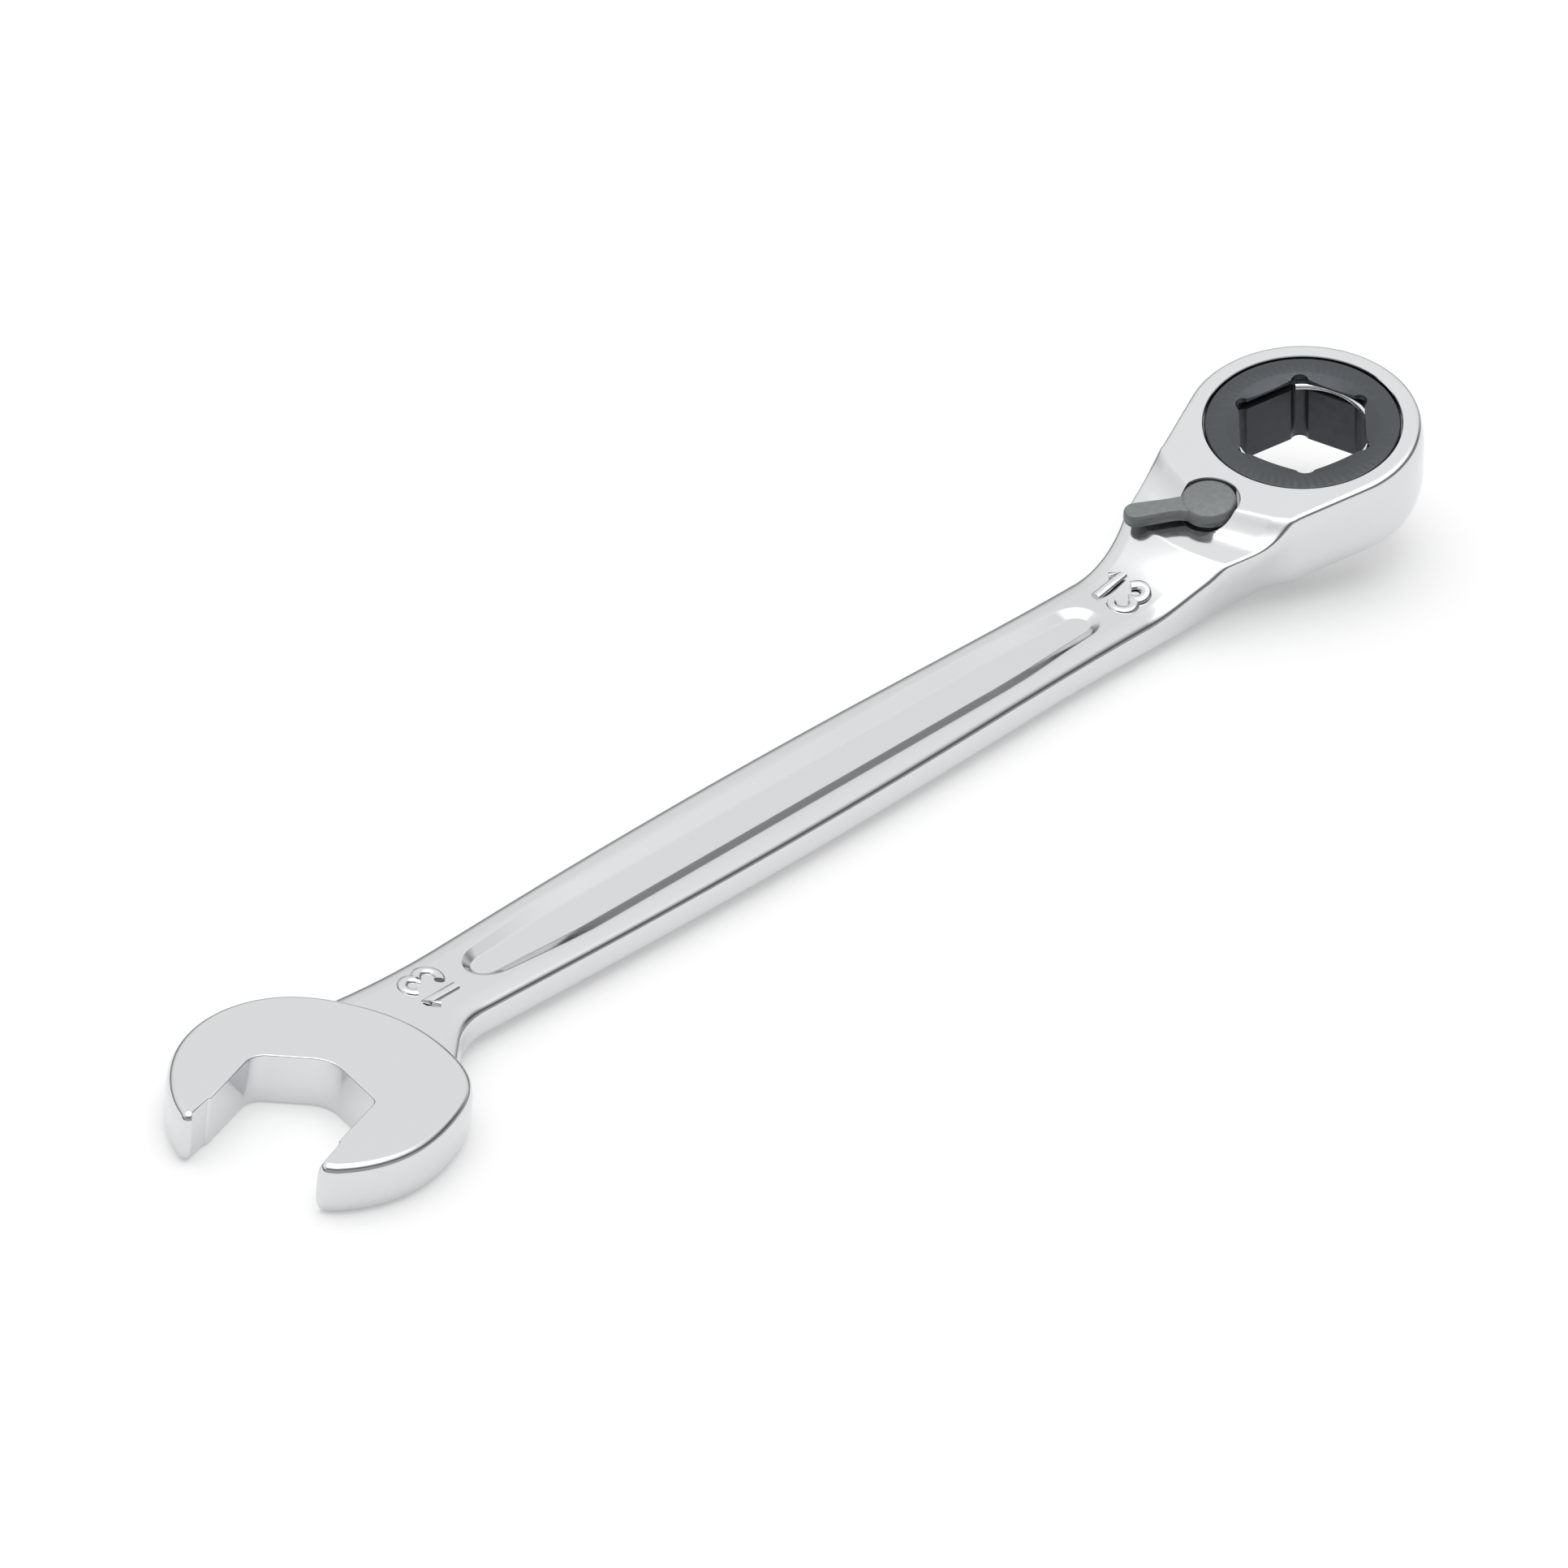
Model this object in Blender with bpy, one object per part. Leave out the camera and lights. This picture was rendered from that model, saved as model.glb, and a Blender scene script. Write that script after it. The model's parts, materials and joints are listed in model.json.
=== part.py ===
"""Reversible ratcheting combination wrench for 13 mm hexagons.

The wrench lies along X: open jaw at -X, ratcheting ring at +X, thumb side up (+Z).  The origin is the
middle of its footprint, level with the underside of the jaw.  The ring head is tipped up by HEAD_TILT,
so everything inside it is built in the head's own frame: U points to the tip, V to the left, H out of
the top face, with the gear's axis at U = V = 0 and the head's top face at H = 0.
"""
import math

import bmesh
import bpy
from mathutils import Matrix, Vector

MM = 0.001

# Whole wrench, in millimetres
ACROSS_FLATS = 13.05            # 13 mm hexagon plus running clearance
HEAD_TILT = 12.0                # ring head, in degrees above the shaft
RING_X, RING_Y, RING_Z = 75.73, 2.11, 14.12
MID_Z = 2.70                    # middle plane shared by jaw and shaft

# Open jaw
JAW_X, JAW_Y = RING_X - 151.40, RING_Y - 3.00
JAW_TURN = 15.0                 # opening direction, in degrees off the shaft
JAW_THICK = 5.40
JAW_R = 13.45
JAW_BULGE = 0.50                # crown of the forged side wall
THROAT_DEPTH = 3.50             # tip of the throat behind the jaw's centre
FLAT_START = -0.10
FLAT_SHIFT = 0.20               # the opening sits a little left of the centre
LEFT_FLAT_END, RIGHT_FLAT_END = 8.10, 7.30
TIP_RELIEF = 0.25

# Shaft
SHAFT_HALF_EDGE = 1.70          # edge height above and below the middle plane
SHAFT_CROWN = 0.20              # the flat panel stands this much above the edge
BORDER_WIDTH = 1.70
SHAFT_BULGE = 0.35
GROOVE_START, GROOVE_END = RING_X - 126.40, RING_X - 33.20
GROOVE_HALF, GROOVE_FLOOR_HALF, GROOVE_DEPTH = 3.30, 1.80, 0.60

# Ring head
HEAD_R, HEAD_THICK, HEAD_BULGE = 12.12, 8.80, 0.62
HEAD_TAPER = 18.0               # each side of the neck, in degrees
LOWER_NECK_U = -13.70
LOWER_END_U, LOWER_END_HALF = -16.80, 5.00
TOP_PLATE = 2.60
STEP_R, SHELF_R, RIDGE_R = 15.80, 18.60, 21.40
SHELF_DEPTH, STEP_FILLET = 1.85, 3.00
BORE_R, BORE_DEPTH, LIP_R = 10.34, 7.15, 9.20

# Gear and what holds it
TOOTH_COUNT = 72
TOOTH_TIP_R, TOOTH_ROOT_R = 10.10, 9.60
FLANGE_R, GEAR_TOP, GEAR_BOTTOM = 10.14, -0.12, -8.68
TOOTH_TOP, TOOTH_BOTTOM, GEAR_HUB_R = -2.50, -6.90, 9.00
CLIP_GROOVE_TOP, CLIP_GROOVE_BOTTOM = -1.80, -2.50
GEAR_GROOVE_R, HEAD_GROOVE_R = 9.30, 10.90
GEAR_CLIP_INNER, GEAR_CLIP_OUTER = 9.50, 10.75
GEAR_CLIP_TOP, GEAR_CLIP_BOTTOM = -1.90, -2.40
HEX_TURN = 41.4                 # direction of one hexagon corner, in degrees
CORNER_RELIEF_R, CORNER_RELIEF_AT = 0.95, 6.75
COUNTERSINK_R, COUNTERSINK_DEPTH = 8.35, 0.30
STOP_GROOVE_TOP, STOP_GROOVE_BOTTOM, STOP_GROOVE_R = -0.85, -1.85, 7.75
STOP_WIRE_R, STOP_RING_R = 0.40, 7.02

# Pawl and its pocket
PAWL_PIVOT_U = -11.90
PAWL_ROCK = 7.0                 # either way from its middle position, in degrees
PAWL_TOP, PAWL_BOTTOM = -2.90, -6.85
PAWL_TIP_R, PAWL_ROOT_R, PAWL_RELIEF_R = 9.80, 10.30, 10.55
PAWL_END_R, PAWL_BACK_U, PAWL_CRADLE_R = 5.95, -13.10, 3.40
POCKET_TOP, POCKET_BOTTOM, POCKET_END_R, POCKET_BACK_U = -2.70, -7.05, 6.30, -14.15

# Reversing lever
LEVER_U = -15.25
LEVER_REST = 142.0              # direction of its thumb arm at rest, in degrees
LEVER_TOP, LEVER_BOTTOM, ARM_BOTTOM = 0.10, -1.60, -1.40
DISC_R, ARM_HALF, ARM_REACH = 2.90, 1.22, 8.95
POST_R, POST_END = 2.30, -7.95
SEAT_R, SEAT_DEPTH, POST_BORE_R, POST_BORE_END = 3.20, 1.95, 2.55, -8.10
SEAL_RING_R, SEAL_WIRE_R, SEAL_H = 2.08, 0.38, -2.42
SEAL_GROOVE_R, SEAL_GROOVE_HALF = 1.62, 0.45
LEVER_CLIP_INNER, LEVER_CLIP_OUTER = 1.85, 2.85
LEVER_CLIP_TOP, LEVER_CLIP_BOTTOM = -7.25, -7.60
POST_GROOVE_R, SEAT_GROOVE_R = 1.70, 3.00
PLUNGER_H, PLUNGER_R, PLUNGER_TIP, PLUNGER_BACK = -4.87, 0.60, 3.05, 1.00
PLUNGER_BORE_R, PLUNGER_BORE_BACK = 0.72, -1.70
SPRING_COIL_R, SPRING_WIRE_R, SPRING_TURNS = 0.42, 0.11, 6


def polar(radius, degrees, centre_u=0.0):
    """Point at a direction and distance from a centre on the U axis."""
    angle = math.radians(degrees)
    return centre_u + radius * math.cos(angle), radius * math.sin(angle)


def arc(radius, start, end, steps, centre_u=0.0):
    """Points along an arc, both ends included."""
    return [polar(radius, start + (end - start) * i / steps, centre_u) for i in range(steps + 1)]


def turned_about(point, degrees, centre_u):
    """A plan point turned about a centre on the U axis."""
    u, v = point[0] - centre_u, point[1]
    angle = math.radians(degrees)
    return (centre_u + u * math.cos(angle) - v * math.sin(angle),
            u * math.sin(angle) + v * math.cos(angle))


def smooth_step(value):
    """0 below 0, 1 above 1 and an even S between."""
    value = min(max(value, 0.0), 1.0)
    return value * value * (3.0 - 2.0 * value)


def bump(angle, centre, width):
    """A soft hump over an angle, in degrees."""
    return math.exp(-((angle - centre) / width) ** 2)


# ---------------------------------------------------------------- building blocks

def make_material(name, colour, metallic, roughness):
    """A Principled material with one colour and finish."""
    material = bpy.data.materials.new(name)
    material.use_nodes = True
    shader = material.node_tree.nodes["Principled BSDF"]
    shader.inputs["Base Color"].default_value = (*colour, 1.0)
    shader.inputs["Metallic"].default_value = metallic
    shader.inputs["Roughness"].default_value = roughness
    return material


def make_object(name, bm, material, parent=None):
    """Turn a bmesh, drawn in millimetres, into a named object in metres."""
    bmesh.ops.scale(bm, vec=(MM, MM, MM), verts=bm.verts)
    bmesh.ops.recalc_face_normals(bm, faces=bm.faces)
    mesh = bpy.data.meshes.new(name)
    bm.to_mesh(mesh)
    bm.free()
    mesh.shade_smooth()
    mesh.set_sharp_from_angle(angle=math.radians(30))
    mesh.materials.append(material)
    obj = bpy.data.objects.new(name, mesh)
    bpy.context.scene.collection.objects.link(obj)
    obj.parent = parent
    return obj


def make_frame(name, matrix, parent=None):
    """An empty that carries a frame; nothing of it is built."""
    frame = bpy.data.objects.new(name, None)
    bpy.context.scene.collection.objects.link(frame)
    frame.parent = parent
    frame.matrix_local = matrix
    return frame


def loft(sections):
    """Skin a closed body through loops that all have the same number of points."""
    bm = bmesh.new()
    rings = [[bm.verts.new(point) for point in section] for section in sections]
    loops = []
    for ring in rings:
        loops.append([bm.edges.new((ring[i - 1], ring[i])) for i in range(len(ring))])
    for near, far in zip(loops, loops[1:]):
        bmesh.ops.bridge_loops(bm, edges=near + far)
    bm.faces.new(rings[0])
    bm.faces.new(rings[-1])
    return bm


def prism(outline, low, high):
    """A plan outline raised between two heights."""
    bm = bmesh.new()
    face = bm.faces.new([bm.verts.new((x, y, low)) for x, y in outline])
    top = bmesh.ops.extrude_face_region(bm, geom=[face], use_keep_orig=True)["geom"]
    raised = [item for item in top if isinstance(item, bmesh.types.BMVert)]
    bmesh.ops.translate(bm, vec=(0.0, 0.0, high - low), verts=raised)
    return bm


def turned(profile, steps):
    """A closed (radius, height) profile spun about Z."""
    bm = bmesh.new()
    verts = [bm.verts.new((radius, 0.0, height)) for radius, height in profile]
    edges = [bm.edges.new((verts[i - 1], verts[i])) for i in range(len(verts))]
    bmesh.ops.spin(bm, geom=verts + edges, cent=(0, 0, 0), axis=(0, 0, 1), angle=math.tau,
                   steps=steps, use_merge=True)
    bmesh.ops.remove_doubles(bm, verts=bm.verts, dist=1e-5)
    return bm


def swept(profile, start, end, steps):
    """A closed (radius, height) profile swept part of a turn about Z, with flat ends."""
    sections = []
    for i in range(steps + 1):
        angle = math.radians(start + (end - start) * i / steps)
        sections.append([(r * math.cos(angle), r * math.sin(angle), h) for r, h in profile])
    return loft(sections)


def use_as_tool(target, tool, operation):
    """Join or cut one solid with another, which then stays as a hidden guide."""
    modifier = target.modifiers.new(f"{operation.lower()}_{tool.name}", "BOOLEAN")
    modifier.operation = operation
    modifier.object = tool
    modifier.solver = "EXACT"
    tool.hide_render = True
    tool.display_type = "WIRE"


# ---------------------------------------------------------------- forged body

def jaw_radius(angle):
    """Outline of the jaw: a circle with a heavier root under the lower prong and a flatter left side."""
    return (JAW_R + 0.95 * bump(angle, -42.0, 20.0) - 0.65 * bump(angle, 25.0, 28.0)
            + 0.30 * bump(angle, 160.0, 20.0))


def jaw_solid(steel):
    """The jaw disc with its crowned side."""
    sections = []
    for i in range(7):
        level = -1.0 + i / 3.0
        bulge = JAW_BULGE * (1.0 - level * level)
        section = []
        for step in range(72):
            degrees = -180.0 + 5.0 * step
            angle = math.radians(degrees)
            radius = jaw_radius(degrees) + bulge
            section.append((JAW_X + radius * math.cos(angle), JAW_Y + radius * math.sin(angle),
                            MID_Z + level * JAW_THICK / 2.0))
        sections.append(section)
    return make_object("jaw_disc", loft(sections), steel)


def rounded(points, radii, steps=4):
    """A polygon whose corners are rounded by the given radii."""
    outline = []
    for i, (point, radius) in enumerate(zip(points, radii)):
        corner = Vector(point)
        before = (Vector(points[i - 1]) - corner).normalized()
        after = (Vector(points[(i + 1) % len(points)]) - corner).normalized()
        if radius == 0.0:
            outline.append(tuple(corner))
            continue
        half = before.angle(after) / 2.0
        centre = corner + (before + after).normalized() * radius / math.sin(half)
        start = corner + before * radius / math.tan(half) - centre
        end = corner + after * radius / math.tan(half) - centre
        for step in range(steps + 1):
            spoke = start.lerp(end, step / steps).normalized() * radius
            outline.append(tuple(centre + spoke))
    return outline


def jaw_opening(steel):
    """The hexagon throat, the two flats and the eased lead-in at the tips."""
    half = ACROSS_FLATS / 2.0
    left, right = FLAT_SHIFT + half, FLAT_SHIFT - half
    reach = 2.0 * JAW_R
    points = [(-THROAT_DEPTH, 0.1), (FLAT_START, left), (LEFT_FLAT_END, left),
              (LEFT_FLAT_END + TIP_RELIEF, left + TIP_RELIEF), (reach, left + TIP_RELIEF),
              (reach, right - TIP_RELIEF), (RIGHT_FLAT_END + TIP_RELIEF, right - TIP_RELIEF),
              (RIGHT_FLAT_END, right), (FLAT_START, right)]
    radii = [2.0, 1.0, 0.0, 0.0, 0.0, 0.0, 0.0, 0.0, 1.0]
    turn = math.radians(180.0 + JAW_TURN)
    outline = []
    for along, left_of in rounded(points, radii):
        outline.append((JAW_X + along * math.cos(turn) + left_of * math.sin(turn),
                        JAW_Y + along * math.sin(turn) - left_of * math.cos(turn)))
    return make_object("jaw_opening", prism(outline, -2.0, JAW_THICK + 2.0), steel)


def shaft_half_width(x):
    """Half the shaft's width at its edge: widest in the middle, slimmer at both ends."""
    along = (x - RING_X + 84.0) / 60.0
    return max(5.76 - 1.85 * along * along, 4.55)


def flare(distance, radius):
    """Sideways growth of a fillet after a distance along it."""
    distance = min(max(distance, 0.0), radius * 0.98)
    return radius - math.sqrt(radius * radius - distance * distance)


def beam_section(x):
    """One cross-section of the shaft and neck, as a loop of points seen along the shaft."""
    local = x - RING_X
    neck = smooth_step((local + 34.0) / 14.0)
    taper = HEAD_R / math.cos(math.radians(HEAD_TAPER)) + local * math.tan(math.radians(HEAD_TAPER)) - 0.25
    top_half = (1.0 - neck) * shaft_half_width(x) + neck * taper
    low_half = shaft_half_width(x) if local < -50.0 else 5.0 + 0.2 * neck
    left = top_half + flare(-126.0 - local, 110.0)
    right = top_half + flare(-129.3 - local, 12.4)
    low_left = low_half + flare(-126.0 - local, 110.0)
    low_right = low_half + flare(-129.3 - local, 12.4)
    ramp = flare(local + 27.3, 9.0) if local < -20.5 else 3.3
    tilt = math.radians(HEAD_TILT)
    shelf = RING_Z + (local * math.sin(tilt) - SHELF_DEPTH - 0.25) / math.cos(tilt)
    edge_top = min(MID_Z + SHAFT_HALF_EDGE + ramp, max(shelf, MID_Z + SHAFT_HALF_EDGE))
    edge_low = MID_Z - SHAFT_HALF_EDGE + 2.4 * smooth_step((local + 15.5) / 3.5)
    middle = (edge_top + edge_low) / 2.0
    crown = SHAFT_CROWN
    border = BORDER_WIDTH
    bulge = SHAFT_BULGE * 0.9 * (1.0 - neck)
    y = RING_Y
    return [(x, y - right, edge_top), (x, y - right + border, edge_top + crown),
            (x, y + left - border, edge_top + crown), (x, y + left, edge_top),
            (x, y + 0.7 * left + 0.3 * low_left + bulge, middle + 0.4 * (edge_top - middle)),
            (x, y + 0.3 * left + 0.7 * low_left + bulge, middle - 0.4 * (edge_top - middle)),
            (x, y + low_left, edge_low), (x, y + low_left - border, edge_low - crown),
            (x, y - low_right + border, edge_low - crown), (x, y - low_right, edge_low),
            (x, y - 0.3 * right - 0.7 * low_right - bulge, middle - 0.4 * (edge_top - middle)),
            (x, y - 0.7 * right - 0.3 * low_right - bulge, middle + 0.4 * (edge_top - middle))]


def beam_solid(steel):
    """Shaft and neck, from inside the jaw disc to inside the ring head."""
    stations = [-141.5 + i for i in range(17)]
    stations += [-120.0 + 5.0 * i for i in range(18)]
    stations += [-31.0 + i for i in range(19)]
    sections = [beam_section(RING_X + station) for station in stations]
    return make_object("shaft_beam", loft(sections), steel)


def stadium(half_width, start, end):
    """A long slot outline with round ends, along X."""
    outline = []
    for step in range(9):
        angle = math.radians(-90.0 + 22.5 * step)
        outline.append((end - half_width + half_width * math.cos(angle), half_width * math.sin(angle)))
    for step in range(9):
        angle = math.radians(90.0 + 22.5 * step)
        outline.append((start + half_width + half_width * math.cos(angle), half_width * math.sin(angle)))
    return outline


def shaft_groove(name, side, steel):
    """The long recess with sloping walls; side is 1 on the thumb side and -1 beneath."""
    wall = GROOVE_HALF - GROOVE_FLOOR_HALF
    surface = SHAFT_HALF_EDGE + SHAFT_CROWN
    spread = wall / GROOVE_DEPTH
    sections = []
    for inset, height in ((wall, surface - GROOVE_DEPTH), (0.0, surface), (-spread, surface + 1.0)):
        outline = stadium(GROOVE_HALF - inset, GROOVE_START + inset, GROOVE_END - inset)
        sections.append([(x, RING_Y + y, MID_Z + side * height) for x, y in outline])
    return make_object(name, loft(sections), steel)


def teardrop(grow, lower):
    """Plan of the ring head: a round end, two straight tapering sides and a closed neck."""
    radius = HEAD_R + grow
    sine, cosine = math.sin(math.radians(HEAD_TAPER)), math.cos(math.radians(HEAD_TAPER))
    side = []
    if lower:
        stops = [-radius * sine, -7.0, -10.5, LOWER_NECK_U]
        side = [(u, (radius + u * sine) / cosine) for u in stops]
        neck_half = side[-1][1]
        for share in (0.33, 0.67, 1.0):
            side.append((LOWER_NECK_U + share * (LOWER_END_U - LOWER_NECK_U),
                         neck_half + share * (LOWER_END_HALF - neck_half)))
        end = [(LOWER_END_U, LOWER_END_HALF * share) for share in (0.5, 0.0, -0.5)]
    else:
        last = math.degrees(math.acos(radius / RIDGE_R))
        corner = polar(RIDGE_R, 90.0 + HEAD_TAPER + last)
        start = -radius * sine
        for share in range(7):
            u = start + (corner[0] - start) * share / 6.0
            side.append((u, (radius + u * sine) / cosine))
        spread = 180.0 - math.degrees(math.atan2(corner[1], corner[0]))
        end = [polar(RIDGE_R, 180.0 + spread * share) for share in (-0.5, 0.0, 0.5)]
    round_end = arc(radius, -90.0 - HEAD_TAPER, 90.0 + HEAD_TAPER, 48)
    mirrored = [(u, -v) for u, v in reversed(side)]
    return round_end + side[1:] + end + mirrored[:-1]


def head_solid(steel, head):
    """The ring head before machining: crowned sides, full depth round the ring only."""
    half = HEAD_THICK / 2.0
    sections = []
    for height, lower in ((0.0, False), (-0.9, False), (-1.8, False), (-TOP_PLATE, False),
                          (-TOP_PLATE, True), (-4.4, True), (-6.2, True), (-7.7, True),
                          (-HEAD_THICK, True)):
        grow = HEAD_BULGE * (1.0 - ((height + half) / half) ** 2)
        sections.append([(u, v, height) for u, v in teardrop(grow, lower)])
    return make_object("ring_head", loft(sections), steel, head)


def step_cutter(steel, head):
    """Clears the round step and the low shelf that the lever swings over."""
    rise = [(SHELF_R - STEP_FILLET * math.sin(math.radians(a)),
             -SHELF_DEPTH + STEP_FILLET * (1.0 - math.cos(math.radians(a)))) for a in (0, 15, 30, 45, 60, 69)]
    profile = rise + [(STEP_R - 0.1, 3.0), (26.0, 3.0), (26.0, -SHELF_DEPTH)]
    return make_object("neck_step", swept(profile, 140.0, 220.0, 20), steel, head)


def ring_bore_cutter(steel, head):
    """Bore for the gear, groove for its clip and the narrower lip at the bottom."""
    profile = [(0.0, 2.0), (BORE_R, 2.0), (BORE_R, CLIP_GROOVE_TOP), (HEAD_GROOVE_R, CLIP_GROOVE_TOP),
               (HEAD_GROOVE_R, CLIP_GROOVE_BOTTOM), (BORE_R, CLIP_GROOVE_BOTTOM), (BORE_R, -BORE_DEPTH),
               (LIP_R, -BORE_DEPTH), (LIP_R, -HEAD_THICK - 2.0), (0.0, -HEAD_THICK - 2.0)]
    return make_object("ring_bore", turned(profile, 72), steel, head)


def pawl_pocket_cutter(steel, head):
    """The milled pocket behind the bore in which the pawl rocks."""
    back = math.degrees(math.acos((POCKET_BACK_U - PAWL_PIVOT_U) / POCKET_END_R))
    outline = arc(POCKET_END_R, -back, back, 30, PAWL_PIVOT_U)
    return make_object("pawl_pocket", prism(outline, POCKET_BOTTOM, POCKET_TOP), steel, head)


def lever_seat_cutter(steel, lever_axis):
    """Seat for the lever's disc, bore for its post and groove for its clip."""
    gap = 0.08
    profile = [(0.0, 3.0), (SEAT_R, 3.0), (SEAT_R, -SEAT_DEPTH), (POST_BORE_R, -SEAT_DEPTH),
               (POST_BORE_R, LEVER_CLIP_TOP + gap), (SEAT_GROOVE_R, LEVER_CLIP_TOP + gap),
               (SEAT_GROOVE_R, LEVER_CLIP_BOTTOM - gap), (POST_BORE_R, LEVER_CLIP_BOTTOM - gap),
               (POST_BORE_R, POST_BORE_END), (0.0, POST_BORE_END)]
    return make_object("lever_seat", turned(profile, 48), steel, lever_axis)


def wrench_body(head, lever_axis):
    """Jaw, shaft and ring head, forged in one piece and then machined."""
    steel = make_material("chromed_steel", (0.80, 0.81, 0.82), 1.0, 0.12)
    body = beam_solid(steel)
    body.name = "wrench_body"
    use_as_tool(body, jaw_solid(steel), "UNION")
    use_as_tool(body, head_solid(steel, head), "UNION")
    cutters = [jaw_opening(steel), shaft_groove("groove_above", 1.0, steel),
               shaft_groove("groove_below", -1.0, steel), step_cutter(steel, head),
               ring_bore_cutter(steel, head), pawl_pocket_cutter(steel, head),
               lever_seat_cutter(steel, lever_axis)]
    for cutter in cutters:
        use_as_tool(body, cutter, "DIFFERENCE")


# ---------------------------------------------------------------- ring gear

def hexagon_outline():
    """Hexagon whose corners are relieved by small round pockets."""
    flat = ACROSS_FLATS / 2.0
    outline = []
    for corner in range(6):
        direction = HEX_TURN + 60.0 * corner
        overhang = flat - CORNER_RELIEF_AT * math.cos(math.radians(30.0))
        half_open = math.degrees(math.acos(overhang / CORNER_RELIEF_R))
        for step in range(7):
            swing = 30.0 + half_open
            angle = -swing + 2.0 * swing * step / 6.0
            around = math.radians(direction + angle)
            centre_u, centre_v = polar(CORNER_RELIEF_AT, direction)
            outline.append((centre_u + CORNER_RELIEF_R * math.cos(around),
                            centre_v + CORNER_RELIEF_R * math.sin(around)))
    return outline


def ratchet_gear(gear_axis):
    """Ring gear: toothed band between a wide top flange and a plain lower hub, with a hexagon bore."""
    oxide = make_material("black_oxide_steel", (0.045, 0.048, 0.052), 0.8, 0.38)
    ease = 0.15
    profile = [(COUNTERSINK_R, GEAR_TOP), (FLANGE_R - ease, GEAR_TOP), (FLANGE_R, GEAR_TOP - ease),
               (FLANGE_R, CLIP_GROOVE_TOP), (GEAR_GROOVE_R, CLIP_GROOVE_TOP),
               (GEAR_GROOVE_R, CLIP_GROOVE_BOTTOM), (GEAR_HUB_R + 0.2, CLIP_GROOVE_BOTTOM),
               (GEAR_HUB_R + 0.2, TOOTH_BOTTOM), (GEAR_HUB_R, TOOTH_BOTTOM),
               (GEAR_HUB_R, GEAR_BOTTOM + ease), (GEAR_HUB_R - ease, GEAR_BOTTOM), (5.0, GEAR_BOTTOM),
               (5.0, GEAR_TOP - COUNTERSINK_DEPTH * 2.0), (6.5, GEAR_TOP - COUNTERSINK_DEPTH)]
    gear = make_object("ratchet_gear", turned(profile, 72), oxide, gear_axis)
    teeth = []
    for tooth in range(TOOTH_COUNT):
        pitch = 360.0 / TOOTH_COUNT
        teeth.append(polar(TOOTH_TIP_R, tooth * pitch))
        teeth.append(polar(TOOTH_ROOT_R, (tooth + 0.5) * pitch))
    band = make_object("gear_teeth", prism(teeth, TOOTH_BOTTOM, TOOTH_TOP), oxide, gear_axis)
    use_as_tool(gear, band, "UNION")
    hexagon = prism(hexagon_outline(), GEAR_BOTTOM - 2.0, 2.0)
    use_as_tool(gear, make_object("hexagon_bore", hexagon, oxide, gear_axis), "DIFFERENCE")
    groove = turned([(0.0, STOP_GROOVE_TOP), (STOP_GROOVE_R, STOP_GROOVE_TOP),
                     (STOP_GROOVE_R, STOP_GROOVE_BOTTOM), (0.0, STOP_GROOVE_BOTTOM)], 48)
    use_as_tool(gear, make_object("stop_groove", groove, oxide, gear_axis), "DIFFERENCE")


def wire_section(ring_radius, wire_radius, height, sides=8):
    """Round wire profile at a ring radius."""
    section = []
    for side in range(sides):
        angle = math.tau * side / sides
        section.append((ring_radius + wire_radius * math.cos(angle), height + wire_radius * math.sin(angle)))
    return section


def bolt_stop_ring(gear_axis):
    """Open wire ring sprung into the gear, which stops a fastener from passing through."""
    wire = make_material("bright_wire", (0.72, 0.73, 0.74), 1.0, 0.2)
    middle = (STOP_GROOVE_TOP + STOP_GROOVE_BOTTOM) / 2.0
    section = wire_section(STOP_RING_R, STOP_WIRE_R, middle)
    make_object("bolt_stop_ring", swept(section, 125.0, 415.0, 48), wire, gear_axis)


def flat_section(inner, outer, low, high):
    """Rectangular profile of a flat snap ring."""
    return [(inner, low), (outer, low), (outer, high), (inner, high)]


def gear_retaining_clip(head):
    """Flat snap ring between the head's groove and the gear's groove."""
    spring_steel = make_material("spring_steel", (0.30, 0.30, 0.31), 1.0, 0.35)
    section = flat_section(GEAR_CLIP_INNER, GEAR_CLIP_OUTER, GEAR_CLIP_BOTTOM, GEAR_CLIP_TOP)
    make_object("gear_retaining_clip", swept(section, -168.0, 168.0, 56), spring_steel, head)


# ---------------------------------------------------------------- pawl

def pawl_teeth():
    """Teeth of the end on the -V side, drawn where they mesh with the gear."""
    pitch = 360.0 / TOOTH_COUNT
    points = []
    for tooth in range(4):
        root = 190.0 + tooth * pitch
        points.append(polar(PAWL_ROOT_R, root))
        points.append(polar(PAWL_TIP_R, root + 0.5 * pitch))
    points.append(polar(PAWL_ROOT_R, 190.0 + 4 * pitch))
    return [turned_about(point, -PAWL_ROCK, PAWL_PIVOT_U) for point in points]


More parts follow.
